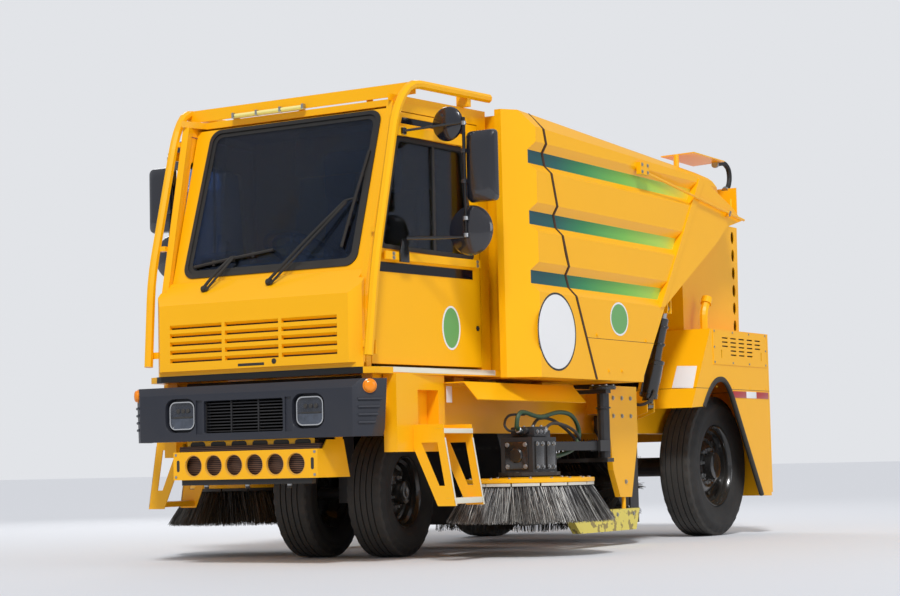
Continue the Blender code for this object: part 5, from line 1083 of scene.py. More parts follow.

# nose: louvres, and below them a slot painted as a black strip (painted shade inside the slot) and a catch
shape = bmesh.new()
for column in (-0.413, 0.0, 0.413):
    for row in range(5):
        z = 1.2175 + row * 0.050
        addSlab(shape, [at(column + dx, y, z + dz) for dx, y, dz in
                        ((-0.195, 0.0935, 0.013), (0.195, 0.0935, 0.013), (0.195, 0.114, -0.002),
                         (-0.195, 0.114, -0.002))],
                (0, 0.0012, 0.0022))
newPiece("noseLouvres", shape, "bodyYellow", "truck", "yellow_paint")
# black strip for the slot: painted shade inside it
shape = addBoxes(bmesh.new(), ((-0.100, 0.0915, 1.164), (0.090, 0.0945, 1.180), 0.001))
addLathe(shape, [(0.0, 0), (0.0, 0.016), (-0.004, 0.016), (-0.006, 0.012), (-0.006, 0)], at(0.162, 0.094, 1.184),
         (0, 1, 0), 16)
newPiece("noseSlotShadeAndCatch", shape, "sealRubber")
print("front made")

# windshield rubber, wipers, lamp bar
screenSpec = {"half": 0.625, "long": 0.981, "corner": 0.07}
screenOut = Vector((0, -0.9501, 0.3119))


def screenLoop(grow, out):
    half, middle = screenSpec["half"] + grow, screenSpec["long"] / 2
    loop = roundLoop(half, middle + grow, screenSpec["corner"] + grow * 0.6, 7)
    return [screenPoint(u, middle + v, out) for u, v in loop]


for name, outer, inner, out, thick in (("screenRubber", 0.012, -0.014, 0.0062, 0.008),
                                       ("screenBorder", -0.002, -0.040, 0.0042, 0.0012)):
    newPiece(name, ringOf(screenLoop(outer, out), screenLoop(inner, out), screenOut * thick), "sealRubber")


def makeWiper(name, pivot, elbow, low, high):
    shape = bmesh.new()
    foot, joint = at(*pivot), screenPoint(*elbow, 0.032)
    addLathe(shape, [(-0.010, 0), (-0.010, 0.024), (0.016, 0.022), (0.028, 0.014), (0.030, 0)], foot, screenOut, 16)
    half = (foot + joint) / 2
    addTube(shape, [foot + screenOut * 0.022, half + screenOut * 0.020, joint], 0.0095, 8, True, 4, 0.6)
    beside = (joint - foot).cross(screenOut).normalized() * 0.026
    addTube(shape, [foot + beside + screenOut * 0.018, half + beside + screenOut * 0.018, joint + beside * 0.5],
            0.0075, 8,
            True, 4, 0.6)
    start, stop = screenPoint(*low, 0.016), screenPoint(*high, 0.016)
    addTube(shape, [start, (start + stop) / 2 + screenOut * 0.004, stop], 0.0095, 6, True, 5)
    for share in (0.25, 0.5, 0.75):
        middle = start.lerp(stop, share)
        addBox(shape, middle - Vector((0.010, 0.004, 0.018)), middle + Vector((0.010, 0.010, 0.018)), 0.003)
    middle = start.lerp(stop, 0.5)
    addTube(shape, [joint, (joint + middle) / 2 + screenOut * 0.004, middle + screenOut * 0.004], 0.006, 6, True, 3)
    newPiece(name, shape, "sealRubber")


makeWiper("leftWiper", (0.069, 0.190, 1.654), (0.500, 0.400), (0.516, 0.108), (0.598, 0.723))
makeWiper("rightWiper", (-0.405, 0.181, 1.642), (-0.270, 0.100), (-0.560, 0.060), (0.020, 0.130))
shape = addBoxes(bmesh.new(), ((-0.464, 0.560, 2.7415), (0.070, 0.592, 2.7435), 0.0008))
addRod(shape, at(-0.460, 0.575, 2.758), at(0.066, 0.575, 2.758), 0.012, 14)
newPiece("roofLampBar", shape, "lampTube")
shape = addBoxes(bmesh.new(), *(((x - 0.008, 0.560, 2.741), (x + 0.008, 0.590, 2.776), 0.003)
                                for x in (-0.470, -0.290, -0.110, 0.060)))
newPiece("roofLampClips", shape, "steelPlain")
print("windshield made")

# doors: window rubbers, low dark strip, divider, handle, mirrors
doorSpec = {
    "window": ((0.146, 1.830), (1.016, 1.812), (0.935, 2.478), (0.312, 2.486)),
    "strips": (((0.100, 1.684), (1.016, 1.684), (1.016, 1.740), (0.110, 1.740)),
               ((0.352, 2.574), (0.945, 2.574), (0.945, 2.610), (0.364, 2.610))),
    "hinges": (1.240, 1.500), "hingeScrews": (0.012, 0.028),
}
mirrorSpec = {
    "armX": 1.105, "armY": 0.725, "case": (1.200, 2.3075), "clamps": (2.00, 2.565, 1.900),
    "loops": ((0.099, 0.2115, 0.026, 0.789), (0.100, 0.2125, 0.030, 0.775), (0.096, 0.207, 0.034, 0.752),
              (0.080, 0.186, 0.040, 0.736), (0.056, 0.150, 0.036, 0.7295)),  # half width, half height, corner, along
    "rounds": (((1.113, 0.730, 1.932), 40, 0.042, 0.141,
                [(0.0, 0), (0.0, 0.020), (0.012, 0.110), (0.026, 0.140), (0.040, 0.148), (0.044, 0.149),
                 (0.044, 0.143),
                 (0.042, 0)]),
               ((0.993, 0.700, 2.573), 36, 0.032, 0.097,
                [(0.0, 0), (0.0, 0.016), (0.010, 0.080), (0.022, 0.099), (0.034, 0.1045), (0.034, 0.099),
                 (0.032, 0)])),
    "foot": ((0.262, 1.742), (0.343, 1.742), (0.343, 1.800), (0.325, 1.878), (0.280, 1.878), (0.262, 1.800)),
}


def windowEdge(side, grow, out, corner=0.03, steps=4):
    # corners of the window loop rounded, then pushed outwards on the cab side
    points = [Vector(point) for point in doorSpec["window"]]
    made = []
    for index, point in enumerate(points):
        before, after = points[index - 1], points[(index + 1) % len(points)]
        first, second = (before - point).normalized(), (after - point).normalized()
        moved = point - (first + second).normalized() * grow * 1.35
        size = corner + max(grow, 0)
        for step in range(steps + 1):
            t = step / steps
            made.append((moved + first * size) * (1 - t) ** 2 + moved * 2 * t * (1 - t)
                        + (moved + second * size) * t * t)
    return [flankPoint(side, point.x, point.y, out) for point in made]


def makeDoorTrim(side, word, door):
    push = flankOut(side)
    for name, outer, inner, out, thick in (("WindowRubber", 0.012, -0.016, 0.0008, 0.006),
                                           ("WindowInner", -0.001, -0.020, -0.0115, 0.012)):
        ring = ringOf(windowEdge(side, outer, out), windowEdge(side, inner, out), push * thick)
        newPiece(word + name, ring, "sealRubber", door)
    shape = bmesh.new()
    for loop in doorSpec["strips"]:
        flankSlab(shape, side, loop, -0.0055, 0.0025)
    newPiece(word + "DoorStripGlass", shape, "stripGlass" + word.title(), door)
    shape = flankSlab(bmesh.new(), side, rectangle(0.640, 0.662, 1.825, 2.478), -0.004, 0.006, 0.001)
    newPiece(word + "WindowDivider", shape, "sealRubber", door)
    shape = flankSlab(bmesh.new(), side, rectangle(1.042, 1.070, 1.372, 1.400), -0.0145, 0.010, 0.002)
    flankSlab(shape, side, rectangle(1.036, 1.060, 1.380, 1.392), -0.001, 0.010, 0.002)
    newPiece(word + "DoorHandle", shape, "boxBlack", door)
    spots = [(flankPoint(side, a, b, 0.0425), push) for a in (0.213, 1.010) for b in (1.764, 1.788)]
    spots += [(flankPoint(side, a, b, 0.0425), push) for a in (0.335, 0.896) for b in (2.506, 2.530)]
    bolts(word + "DoorBarBolts", spots, "steelPlain", door, 0.008, 0.006)
    for name, along, drop, body in (("HingeScrews", 0.062, 0.0, door), ("PillarScrews", 0.027, 0.040, "truck")):
        spots = [(flankPoint(side, along, foot - drop + dz, 0.0065), push) for foot in doorSpec["hinges"]
                 for dz in doorSpec["hingeScrews"]]
        bolts(word + name, spots, "steelPlain", body, 0.004, 0.003)


def makeMirrors(side, word, door):
    # a rounded upright case, a small top round, a large low dome
    on = mirrored(side)
    armX, armY = mirrorSpec["armX"], mirrorSpec["armY"]
    shape = bmesh.new()
    addTube(shape, [flankPoint(side, 0.300, 1.880, 0.070), on(0.98, 0.60, 1.884), on(armX, armY, 1.890),
                    on(armX, armY, 2.10), on(armX, armY, 2.600)], 0.0108, 10, False)
    addTube(shape, [flankPoint(side, 0.320, 2.517, 0.054), on(armX, armY - 0.002, 2.570)], 0.008, 8, False)
    addTube(shape, [on(0.985, 0.640, 2.548), on(0.993, 0.712, 2.573)], 0.008, 8, False)
    flankSlab(shape, side, mirrorSpec["foot"], 0.043, 0.012, 0.003)
    flankSlab(shape, side, rectangle(0.302, 0.338, 2.499, 2.535), 0.043, 0.014, 0.003)
    frameWork = newPiece(word + "MirrorArms", shape, "glossBlack", door, "black_paint")
    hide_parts(word + "_mirrors")
    caseX, caseZ = mirrorSpec["case"]
    shape = bmesh.new()
    rings = [[shape.verts.new(on(caseX, y, caseZ) + Vector((side * u, 0, v)))
              for u, v in roundLoop(halfWide, halfHigh, corner, 4)] for halfWide, halfHigh, corner,
             y in mirrorSpec["loops"]]
    for first, second in zip(rings, rings[1:]):
        bridge(shape, first, second)
    capEnds(shape, rings)
    for height in (2.22, 2.40):
        addBox(shape, on(armX, armY, height) - Vector((0.016, 0.016, 0.012)),
               on(armX, armY + 0.020, height) + Vector((0.016, 0.006, 0.012)), 0.003)
    face = addSlab(bmesh.new(), [on(caseX + u, 0.7885, caseZ + v) for u, v in roundLoop(0.092, 0.204, 0.024, 4)],
                   (0, 0.0004, 0))
    for centre, steps, back, radius, profile in mirrorSpec["rounds"]:
        addLathe(shape, profile, on(*centre), (0, 1, 0), steps)
        addLathe(face, [(back, 0), (back, radius), (back + 0.0015, radius), (back + 0.003, 0.0)], on(*centre),
                 (0, 1, 0),
                 steps)
    newPiece(word + "MirrorShells", shape, "mirrorShell", door, "black_paint", 28.0)
    newPiece(word + "MirrorFaces", face, "mirrorGlass", door)
    shape = bmesh.new()
    for height in mirrorSpec["clamps"]:
        addRod(shape, on(armX, 0.7245, height - 0.012), on(armX, 0.7245, height + 0.012), 0.016, 12)
    newPiece(word + "MirrorClamps", shape, "steelPlain", door)


for side, word in sides:
    makeDoorTrim(side, word, word + "_cab_door")
    makeMirrors(side, word, word + "_cab_door")
print("doors made")

# rear body: parting seal, its brown painted as shade of the gap, hose, arch rubbers, reflectors and blank signs
partLine = ((1.459, 2.730), (1.752, 1.852), (2.127, 1.080))
grooveLevels = ((2.527, 2.476, 2.396, 2.349), (2.150, 2.099, 2.019, 1.971), (1.783, 1.733, 1.655, 1.600))
partingStripSpec = {"half": 0.0125, "sunk": -0.003, "deep": 0.022, "wall": 1.220, "groove": 1.180}


def partAlong(z):
    (y0, z0), (y1, z1), (y2, z2) = partLine
    if z >= z1:
        return y1 + (z - z1) * (y0 - y1) / (z0 - z1)
    return y2 + (z - z2) * (y1 - y2) / (z1 - z2)


def makePartingSealShade():
    wall, groove = partingStripSpec["wall"], partingStripSpec["groove"]
    half = [(wall, 1.084)]
    for top, innerTop, innerLow, low in reversed(grooveLevels):
        half += [(wall, low), (groove, innerLow), (groove, innerTop), (wall, top)]
    half += [(wall, 2.615), (wall - 0.080, 2.712)]
    path = half + [(-x, z) for x, z in reversed(half)]
    shape = bmesh.new()
    rings = []
    over = Vector((0, partingStripSpec["half"], 0))
    for index, (x, z) in enumerate(path):
        before, after = path[max(index - 1, 0)], path[min(index + 1, len(path) - 1)]
        run = Vector((after[0] - before[0], 0, after[1] - before[1])).normalized()
        inward = Vector((-run.z, 0, run.x))
        if inward.dot(Vector((-x, 0, 1.9 - z))) < 0:
            inward = -inward
        base = at(x, partAlong(z), z)
        near, far = base + inward * partingStripSpec["sunk"], base + inward * partingStripSpec["deep"]
        rings.append([shape.verts.new(point) for point in
                      (near - over, near - inward * 0.004, near + over, far + over, far - over)])
    for first, second in zip(rings, rings[1:]):
        bridge(shape, first, second)
    capEnds(shape, rings)
    # a seal bead coloured brown: painted shade of the gap it sits in
    newPiece("partingSealShade", shape, "partingGapShadeBrown")


makePartingSealShade()
hosePath = ((4.300, 2.722), (4.400, 2.742), (4.475, 2.748), (4.545, 2.715), (4.562, 2.650), (4.535, 2.585),
            (4.476, 2.548))
shape = addTube(bmesh.new(), [at(1.130, y, z) for y, z in hosePath], 0.019, 12)
newPiece("hopperHose", shape, "sealRubber", "tipping_hopper")
shape = bmesh.new()
for y, z, facing in ((4.310, 2.724, (0, 1, 0.1)), (4.480, 2.552, (0, 1, 0.8))):
    addLathe(shape, [(-0.012, 0), (-0.012, 0.026), (0.010, 0.026), (0.016, 0.022), (0.016, 0)], at(1.130, y, z),
             facing, 16)
newPiece("hopperHoseClips", shape, "steelPlain", "tipping_hopper")
spots = [(at(1.2204, a, b), (1, 0, 0)) for a, b in ((2.145, 1.367), (2.862, 1.357), (2.301, 1.140), (2.489, 1.145))]
bolts("hopperRivets", spots, "bodyYellow", "tipping_hopper", 0.009, 0.006)
spots = [(at(1.2502, y, z), (1, 0, 0)) for y, z in
         ((2.822, 2.496), (2.822, 2.544), (2.906, 2.496), (2.906, 2.544), (4.262, 2.335), (4.278, 2.355))]
bolts("tieRodBolts", spots, "steelPlain", "tipping_hopper", 0.009, 0.006)


def addPlate(shape, side, x, thick, alongs, heights, bevel):
    # an upright plate at x on one side, its thickness given inwards and outwards along the world's x axis
    return addBox(shape, at(side * x - thick[0], alongs[0], heights[0]),
                  at(side * x + thick[1], alongs[1], heights[1]), bevel)


archSweep = ((3.760, 0.926), (3.862, 1.036), (3.962, 1.106), (4.062, 1.130), (4.156, 1.118), (4.255, 1.040),
             (4.400, 0.832), (4.585, 0.560), (4.770, 0.288))
tapeHeights = (1.000, 1.048)
for side, word in sides:
    out = (side, 0, 0)
    newPiece(word + "ArchRubber", addTube(bmesh.new(), [at(side * 1.214, a, b) for a, b in archSweep], 0.023, 10,
                                          True, 5,
                                          0.8), "sealRubber")
    shape = bmesh.new()
    for alongs in ((4.288, 4.527), (4.715, 4.947)):
        addPlate(shape, side, 1.2222, (0.0022, 0.0012), alongs, tapeHeights, 0.0006)
    newPiece(word + "ReflectorRed", shape, "signRed")
    shape = addPlate(bmesh.new(), side, 1.2222, (0.0022, 0.0010), (4.527, 4.715), tapeHeights, 0.0006)
    newPiece(word + "ReflectorWhite", shape, "signWhite")
    spots = [(at(side * 1.2242, a, b), out) for a in (3.975, 4.300, 4.600, 4.910) for b in (1.252, 1.474)]
    spots += [(at(side * 1.2242, a, 1.360), out) for a in (3.972, 4.914)]
    bolts(word + "VentPanelScrews", spots, "steelPlain", "truck", 0.006, 0.004)
    # dark filter mesh behind the louvres
    shape = addPlate(bmesh.new(), side, 1.2060, (0.003, 0.003), (3.990, 4.890), (1.268, 1.466), 0.001)
    newPiece(word + "VentFilter", shape, "coolerFins")
    shape = bmesh.new()
    for y in (4.00, 4.30, 4.60, 4.90):
        addLathe(shape, [(0.0, 0), (0.0, 0.006), (0.003, 0.004), (0.003, 0)], at(side * 1.2202, y, 1.075), out, 10)
    newPiece(word + "FenderRivets", shape, "bodyYellow")

# tail: door seams, hinges, latches and louvres on the engine housing, dark bars under the louvre lips as painted
# shade, seams on the panel below
tailSpec = {"foot": 1.49, "along": 4.950, "lean": 0.0265, "door": 0.945, "low": 1.545, "high": 2.265, "seam": 0.0030,
            "columns": (-0.470, 0.470), "rows": 9, "first": 1.652, "pitch": 0.060}


def tailPoint(x, z, out=0.0):
    return at(x, tailSpec["along"] + (z - tailSpec["foot"]) * tailSpec["lean"] + out, z)


def tailBar(shape, x0, x1, z0, z1):
    addSlab(shape, [tailPoint(x, z, -0.001) for x, z in rectangle(x0, x1, z0, z1)], (0, 0.0018, 0))


door, low, high, seam = (tailSpec[key] for key in ("door", "low", "high", "seam"))
slots = [(column, tailSpec["first"] + row * tailSpec["pitch"]) for column in tailSpec["columns"]
         for row in range(tailSpec["rows"])]
shape = bmesh.new()
for x in (-door, 0.0, door):
    tailBar(shape, x - seam, x + seam, low, high)
for z in (low, high):
    tailBar(shape, -door, door, z - seam, z + seam)
addBoxes(shape, *(((x0, 4.9765, z0), (x1, 4.9778, z1), 0.0) for x0, x1, z0, z1 in (
    (-0.735, 0.735, 0.760, 0.765), (-0.735, 0.735, 1.010, 1.015), (-0.738, -0.733, 0.760, 1.015),
    (0.733, 0.738, 0.760, 1.015), (-0.003, 0.003, 0.760, 1.015))))
# a dark bar under each louvre lip: painted shade below the lip
for x, z in slots:
    tailBar(shape, x - 0.290, x + 0.290, z - 0.010, z)
newPiece("tailSeamsAndLouvreShade", shape, "sealRubber")
shape = bmesh.new()
for x, z in slots:
    addSlab(shape, [tailPoint(x - 0.300, z + dz, out) for dz, out in
                    ((0, -0.001), (0, 0.0125), (0.010, 0.0120), (0.034, 0.0006), (0.034, -0.001))], (0.600, 0, 0))
newPiece("tailLouvres", shape, "bodyYellow", "truck", "yellow_paint")
shape = bmesh.new()
for x in (-door - 0.004, door + 0.004):
    for z in (1.680, 2.090):
        addRod(shape, tailPoint(x, z, 0.006), tailPoint(x, z + 0.100, 0.006), 0.0075, 12)
newPiece("tailHinges", shape, "bodyYellow", "truck", "yellow_paint")
shape = bmesh.new()
for x in (-0.060, 0.060):
    addBox(shape, tailPoint(x - 0.024, 1.850, 0.0), tailPoint(x + 0.024, 1.965, 0.004), 0.0015)
    addBox(shape, tailPoint(x - 0.010, 1.862, 0.003), tailPoint(x + 0.010, 1.940, 0.010), 0.003)
newPiece("tailLatches", shape, "boxBlack")
spots = [(at(x, 4.9772, z), (0, 1, 0)) for x in (-0.710, -0.360, -0.030, 0.030, 0.360, 0.710) for z in (0.785, 0.990)]
bolts("tailScrews", spots, "steelPlain", "truck", 0.008, 0.005)

corners = [at(*p) for p in ((1.031, 3.651, 1.065), (1.029, 3.752, 1.223), (1.186, 3.747, 1.216),
                            (1.195, 3.647, 1.058))]
lean = (corners[1] - corners[0]).cross(corners[2] - corners[0]).normalized()
lean = lean if lean.y < 0 else -lean
newPiece("fenderPlate", addSlab(bmesh.new(), [c - lean * 0.004 for c in corners], lean * 0.006, 0.001), "signWhite")

signSpec = {"rim": 0.012, "thick": 0.0010, "rimThick": 0.0016, "points": 48}


def makeOval(name, centre, halfWide, halfHigh, finish, rimFinish, body, place, push):
    def oval(shrink):
        angles = [fullTurn * k / signSpec["points"] for k in range(signSpec["points"])]
        return [place(centre[0] + (halfWide - shrink) * math.cos(angle), centre[1]
                      + (halfHigh - shrink) * math.sin(angle))
                for angle in angles]
    newPiece(name, addSlab(bmesh.new(), oval(0.0), push * signSpec["thick"]), finish, body)
    newPiece(name + "Rim", ringOf(oval(0.0), oval(signSpec["rim"]), push * signSpec["rimThick"]), rimFinish, body)


for side, word in sides:
    makeOval(word + "HousingSign", (1.607, 1.365), 0.249, 0.243, "signWhite", "boxBlack", "truck",
             lambda a, b: at(side * 1.2200, a, b), Vector((side, 0, 0)))
    makeOval(word + "DoorSign", (0.790, 1.379), 0.088, 0.133, "signGreen", "signWhite", word + "_cab_door",
             lambda a, b: flankPoint(side, a, b), flankOut(side))
makeOval("hopperSign", (2.470, 1.485), 0.130, 0.110, "signGreen", "signWhite", "tipping_hopper",
         lambda a, b: at(1.2200, a, b), Vector((1, 0, 0)))
print("rear body made")

# white grip tape on the ledges and steps, bolts and collars on the broom and shoe posts
tapeSpec = {"thick": 0.0012, "ledge": 0.8145, "ledgeSlope": 0.1062,
            "steps": ((1.0585, 0.742, 0.7695), (1.1195, 0.337, 0.3695)),
            "deep": 0.060, "step": (0.506, 0.830)}
postSpec = {"left": {"cap": 1.048, "collar": 1.030}, "right": {"cap": 0.992, "collar": 0.978}}
postBolts = [(a, b) for b in (0.980, 0.860) for a in (2.720, 2.850, 2.980)] + [(2.880, 0.420)]


def ledgeX(along):
    return tapeSpec["ledge"] + (along - 0.166) * tapeSpec["ledgeSlope"]


for side, word in sides:
    on, out, up = mirrored(side), (side, 0, 0), (0, 0, 1)
    shape = bmesh.new()
    over = (0, 0, tapeSpec["thick"])
    addSlab(shape, [on(0.748 + (y - 0.180) * math.tan(cabSlope) + off, y, 1.1272)
                    for y, off in rectangle(0.235, 1.300, 0.030, 0.062)], over)
    addSlab(shape, [on(ledgeX(y), y, z) for y, z in rectangle(0.330, 1.318, 1.098, 1.1283)], (side * 0.0018, 0, 0))
    addSlab(shape, [on(ledgeX(y) - back, y, 1.1271) for y, back in rectangle(0.330, 1.318, 0.0, 0.030)], over)
    for face, low, high in tapeSpec["steps"]:
        half = tapeSpec["deep"] / 2
        addPlate(shape, side, face - 0.0008, (0.0010, 0.0010), tapeSpec["step"], (low, high), 0.0004)
        addPlate(shape, side, face - half, (half, half), tapeSpec["step"], (high - 0.0014, high), 0.0004)
    for y, wide in ((0.5055, 0.013), (0.8305, -0.013)):
        edge = ((1.0595, y, 0.716), (1.1265, y, 0.326), (1.1265, y + wide, 0.326), (1.0595, y + wide, 0.716))
        addSlab(shape, [on(*p) for p in edge], (side * 0.0012, 0, 0))
    newPiece(word + "StepTape", shape, "tapeWhite")
    post = on(1.140, 2.360, 0.0)
    spots = [(post + Vector((dx, dy, postSpec[word]["cap"])), up) for dx in (-0.05, 0.05) for dy in (-0.05, 0.05)]
    bolts(word + "PostCapBolts", spots, "steelPlain", "truck", 0.009, 0.007)
    shape = bmesh.new()
    addLathe(shape, [(0.0, 0.028), (0.0, 0.084), (0.004, 0.088), (0.010, 0.088), (0.014, 0.084), (0.014, 0.028)],
             on(1.140, 2.360, postSpec[word]["collar"]), up, 40)
    addLathe(shape, [(0.0, 0.041), (0.0, 0.050), (0.010, 0.050), (0.010, 0.041)], on(1.140, 2.360, 0.900), up, 24)
    newPiece(word + "PostCollars", shape, "glossBlack")
    bolts(word + "ShoePostBolts", [(on(1.0302, a, b), out) for a, b in postBolts], "steelPlain", "truck", 0.011,
          0.008)
    spots = [(on(1.0402, a, 0.205), out) for a in (2.240, 2.480, 2.720, 2.960)]
    bolts(word + "ShoeBolts", spots, "steelPlain", "truck", 0.010, 0.007)

# lift ram: a sleeve and collars on the barrel, and a hose to its foot
ramFoot, ramHead = at(1.000, 3.300, 0.940), at(1.160, 3.300, 1.600)
ramLine = (ramHead - ramFoot).normalized()
shape = bmesh.new()
for share in (0.62, 0.80):
    addLathe(shape, [(0.0, 0.0404), (0.0, 0.047), (0.004, 0.049), (0.016, 0.049), (0.020, 0.047), (0.020, 0.0404)],
             ramFoot + (ramHead - ramFoot) * share, ramLine, 32)
addLathe(shape, [(0.052, 0.0404), (0.052, 0.060), (0.057, 0.066), (0.082, 0.066), (0.087, 0.062), (0.290, 0.062),
                 (0.294, 0.066), (0.316, 0.066), (0.322, 0.060), (0.322, 0.0404)], ramFoot, ramLine, 36)
newPiece("ramCollars", shape, "glossBlack", "lift_ram_barrel", "black_paint")
shape = addTube(bmesh.new(), [ramFoot + Vector(step) for step in
                              ((0.040, -0.02, 0.090), (0.085, -0.05, 0.090), (0.080, -0.10, 0.030),
                               (0.020, -0.14, 0.000),
                               (-0.060, -0.16, 0.020))], 0.011, 8)
newPiece("ramHose", shape, "sealRubber", "lift_ram_barrel")

# inside the cab: seat, pale dash hood, control box and steering wheel
padSpec = {"voxel": 0.014, "pressure": 4.0, "frames": 14, "swell": 0.012}
wheelSpec = {"place": (0.0, 0.640, 1.870), "ring": 0.190, "thick": 0.0135, "tilt": (0.0, 0.5, 0.866), "steps": 36}


def makePad(name, corners, push):
    # a padded block: blown up by cloth pressure, its swelling then held to a set limit
    made = meshObject(name, addSlab(bmesh.new(), [at(*corner) for corner in corners], push))
    fine = made.modifiers.new("fine", "REMESH")
    fine.mode, fine.voxel_size = "VOXEL", padSpec["voxel"]
    dense = evaluatedMesh(made)
    made.modifiers.clear()
    made.data = dense
    still = [vertex.co.copy() for vertex in dense.vertices]
    cloth = made.modifiers.new("cloth", "CLOTH")
    cloth.settings.use_pressure, cloth.settings.uniform_pressure_force = True, padSpec["pressure"]
    cloth.settings.effector_weights.gravity = 0.0
    cloth.settings.quality = 4
    cloth.point_cache.frame_start, cloth.point_cache.frame_end = 1, padSpec["frames"]
    for number in range(1, padSpec["frames"] + 1):
        bpy.context.scene.frame_set(number)
    blown = evaluatedMesh(made)
    made.modifiers.clear()
    for vertex, rest, moved in zip(dense.vertices, still, blown.vertices):
        shift = moved.co - rest
        vertex.co = rest + (shift.normalized() * padSpec["swell"] if shift.length > padSpec["swell"] else shift)
    bpy.context.scene.frame_set(1)
    soft = made.modifiers.new("soft", "SUBSURF")
    soft.levels = soft.render_levels = 1
    made.data.name = name
    made.data.materials.append(paints["seatCloth"])
    made.data.shade_smooth()
    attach(made, "truck")


makePad("seatCushion", ((-0.222, 0.758, 1.570), (0.222, 0.758, 1.570), (0.222, 1.150, 1.570), (-0.222, 1.150, 1.570)),
        (0, 0, 0.098))
makePad("seatBack", ((-0.212, 1.076, 1.685), (0.212, 1.076, 1.685), (0.205, 1.196, 2.285), (-0.205, 1.196, 2.285)),
        (0, 0.060, 0.0))
shape = addBoxes(bmesh.new(), ((-0.200, 0.800, 1.1275), (0.200, 1.140, 1.190), 0.008),
                 ((-0.150, 0.840, 1.180), (0.150, 1.100, 1.500), 0.020),
                 ((-0.210, 0.770, 1.500), (0.210, 1.150, 1.566), 0.010),
                 ((-0.180, 1.150, 1.520), (0.180, 1.172, 1.760), 0.008))
pedestal = newPiece("seatPedestal", shape, "boxBlack", "truck", "seat_fabric")
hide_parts("seat")
hoodLine = ((0.332, 1.128), (0.468, 1.128), (0.556, 1.700), (0.548, 1.755), (0.520, 1.795), (0.480, 1.808),
            (0.400, 1.798),
            (0.345, 1.740), (0.332, 1.690))
shape = addSlab(bmesh.new(), [at(-0.300, y, z) for y, z in hoodLine], (0.620, 0, 0))
hood = newPiece("dashHood", shape, "dashGrey", "truck", "grey_plastic")
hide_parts("dash_console")
shape = addBoxes(bmesh.new(), ((-0.638, 0.442, 1.128), (-0.402, 0.638, 1.858), 0.014),
                 ((-0.410, 0.450, 1.128), (-0.300, 0.470, 1.690), 0.004))
for row in range(3):
    for column in range(3):
        addLathe(shape, [(0.0, 0), (0.0, 0.012), (0.010, 0.010), (0.010, 0)],
                 at(-0.590 + column * 0.070, 0.490 + row * 0.050, 1.857), (0, 0, 1), 12)
addRod(shape, at(-0.520, 0.540, 1.858), at(-0.520, 0.560, 1.950), 0.008, 10)
addLathe(shape, [(0.0, 0), (0.006, 0.012), (0.022, 0.016), (0.036, 0.010), (0.040, 0)], at(-0.520, 0.562, 1.944),
         (0, 0.2, 1), 14)
newPiece("controlBox", shape, "boxBlack", "truck", "grey_plastic")

shape = bmesh.new()
wheelCentre, steps, thick = at(*wheelSpec["place"]), wheelSpec["steps"], wheelSpec["thick"]
across, beside, axis = axes(wheelSpec["tilt"])
ringPath = [circlePoint(wheelCentre, across, beside, wheelSpec["ring"], fullTurn * k / steps) for k in range(steps)]
circle = []
for point in ringPath:
    radial = (point - wheelCentre).normalized()
    circle.append([shape.verts.new(circlePoint(point, radial, axis, thick, fullTurn * j / 8)) for j in range(8)])
for k in range(steps):
    bridge(shape, circle[k], circle[(k + 1) % steps])
for k in (0, 12, 24):
    addRod(shape, wheelCentre - axis * 0.006, wheelCentre + (ringPath[k] - wheelCentre) * 0.97, 0.009, 8)
addLathe(shape, [(-0.030, 0), (-0.030, 0.045), (0.004, 0.045), (0.012, 0.034), (0.012, 0)], wheelCentre, axis, 24)
addRod(shape, at(0.0, 0.5405, 1.700), wheelCentre - axis * 0.020, 0.028, 16)
newPiece("steeringWheel", shape, "boxBlack", "truck", "grey_plastic")
print("cab inside made")

# floor, light and camera
floorSpec = {"size": 160.0, "colour": srgb(222, 223, 226), "drop": 0.0005}
shape = bmesh.new()
bmesh.ops.create_grid(shape, x_segments=1, y_segments=1, size=floorSpec["size"])
mesh = bpy.data.meshes.new("studioFloor")
shape.to_mesh(mesh)
shape.free()
floor = placed("studioFloor", mesh)
floor.location.z = -floorSpec["drop"]
floorFinish, floorTree, floorShader = newMaterial("studioFloor")
feedAll(floorTree, floorShader, {"Base Color": floorSpec["colour"], "Roughness": 0.9})
mesh.materials.append(floorFinish)

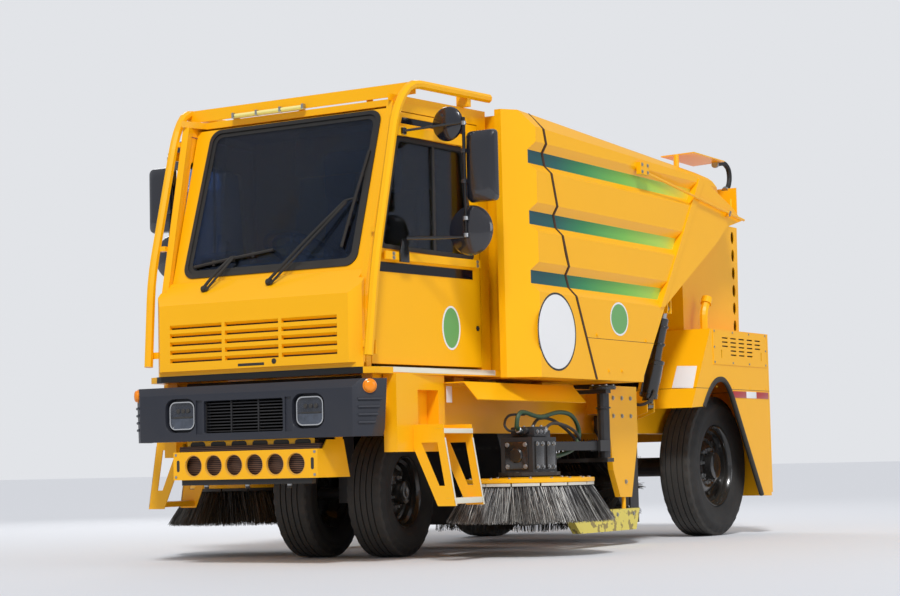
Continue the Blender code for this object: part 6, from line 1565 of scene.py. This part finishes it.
world = bpy.data.worlds.new("studioSky")
bpy.context.scene.world = world
world.use_nodes = True
sky = world.node_tree
paths = addNode(sky, "ShaderNodeLightPath")
seen = maths(sky, "MAXIMUM", paths.outputs["Is Camera Ray"], paths.outputs["Is Transmission Ray"])
feedAll(sky, sky.nodes["Background"], {"Color": mixColour(sky, seen, srgb(236, 240, 248), srgb(226, 228, 232)),
                                       "Strength": plus(sky, times(sky, seen, 0.50), 0.50)})


def areaLamp(name, place, aim, size, power, tone):
    data = bpy.data.lights.new(name, "AREA")
    data.shape, data.size, data.energy, data.color = "DISK", size, power, tone
    lamp = placed(name, data)
    lamp.location = Vector(place)
    lamp.rotation_euler = (Vector(aim) - Vector(place)).to_track_quat("-Z", "Y").to_euler()


sunSpec = {"from": (4.5, -8.0, 9.5), "strength": 2.15, "softness": 10.0}
sunData = bpy.data.lights.new("softSun", "SUN")
sunData.energy, sunData.angle = sunSpec["strength"], math.radians(sunSpec["softness"])
placed("softSun", sunData).rotation_euler = Vector(sunSpec["from"]).to_track_quat("Z", "Y").to_euler()
areaLamp("sideLamp", (10.0, -1.0, 4.0), (0, 0, 1.2), 5.0, 160.0, (0.95, 0.97, 1.0))
areaLamp("rimLamp", (-7.0, 6.0, 6.5), (0, 0, 1.5), 6.0, 200.0, (1.0, 1.0, 1.0))

cameraSpec = {"place": (7.2211, -12.0722, 0.5583), "azimuth": 31.183, "pitch": 4.647, "roll": -1.306, "lens": 82.14}
turn, tilt, roll = (math.radians(cameraSpec[key]) for key in ("azimuth", "pitch", "roll"))
ahead = Vector((-math.sin(turn), math.cos(turn), 0.0))
right = Vector((math.cos(turn), math.sin(turn), 0.0))
forward = ahead * math.cos(tilt) + Vector((0, 0, 1)) * math.sin(tilt)
upright = right.cross(forward)
sideways = right * math.cos(roll) + upright * math.sin(roll)
overhead = upright * math.cos(roll) - right * math.sin(roll)
lens = bpy.data.cameras.new("photoCamera")
lens.lens, lens.sensor_width, lens.sensor_fit = cameraSpec["lens"], 36.0, "HORIZONTAL"
lens.clip_end = 400.0
camera = placed("photoCamera", lens)
frameOf = Matrix((sideways, overhead, -forward)).transposed().to_4x4()
frameOf.translation = Vector(cameraSpec["place"])
camera.matrix_world = frameOf
bpy.context.scene.camera = camera
bpy.context.scene.view_settings.view_transform = "Standard"
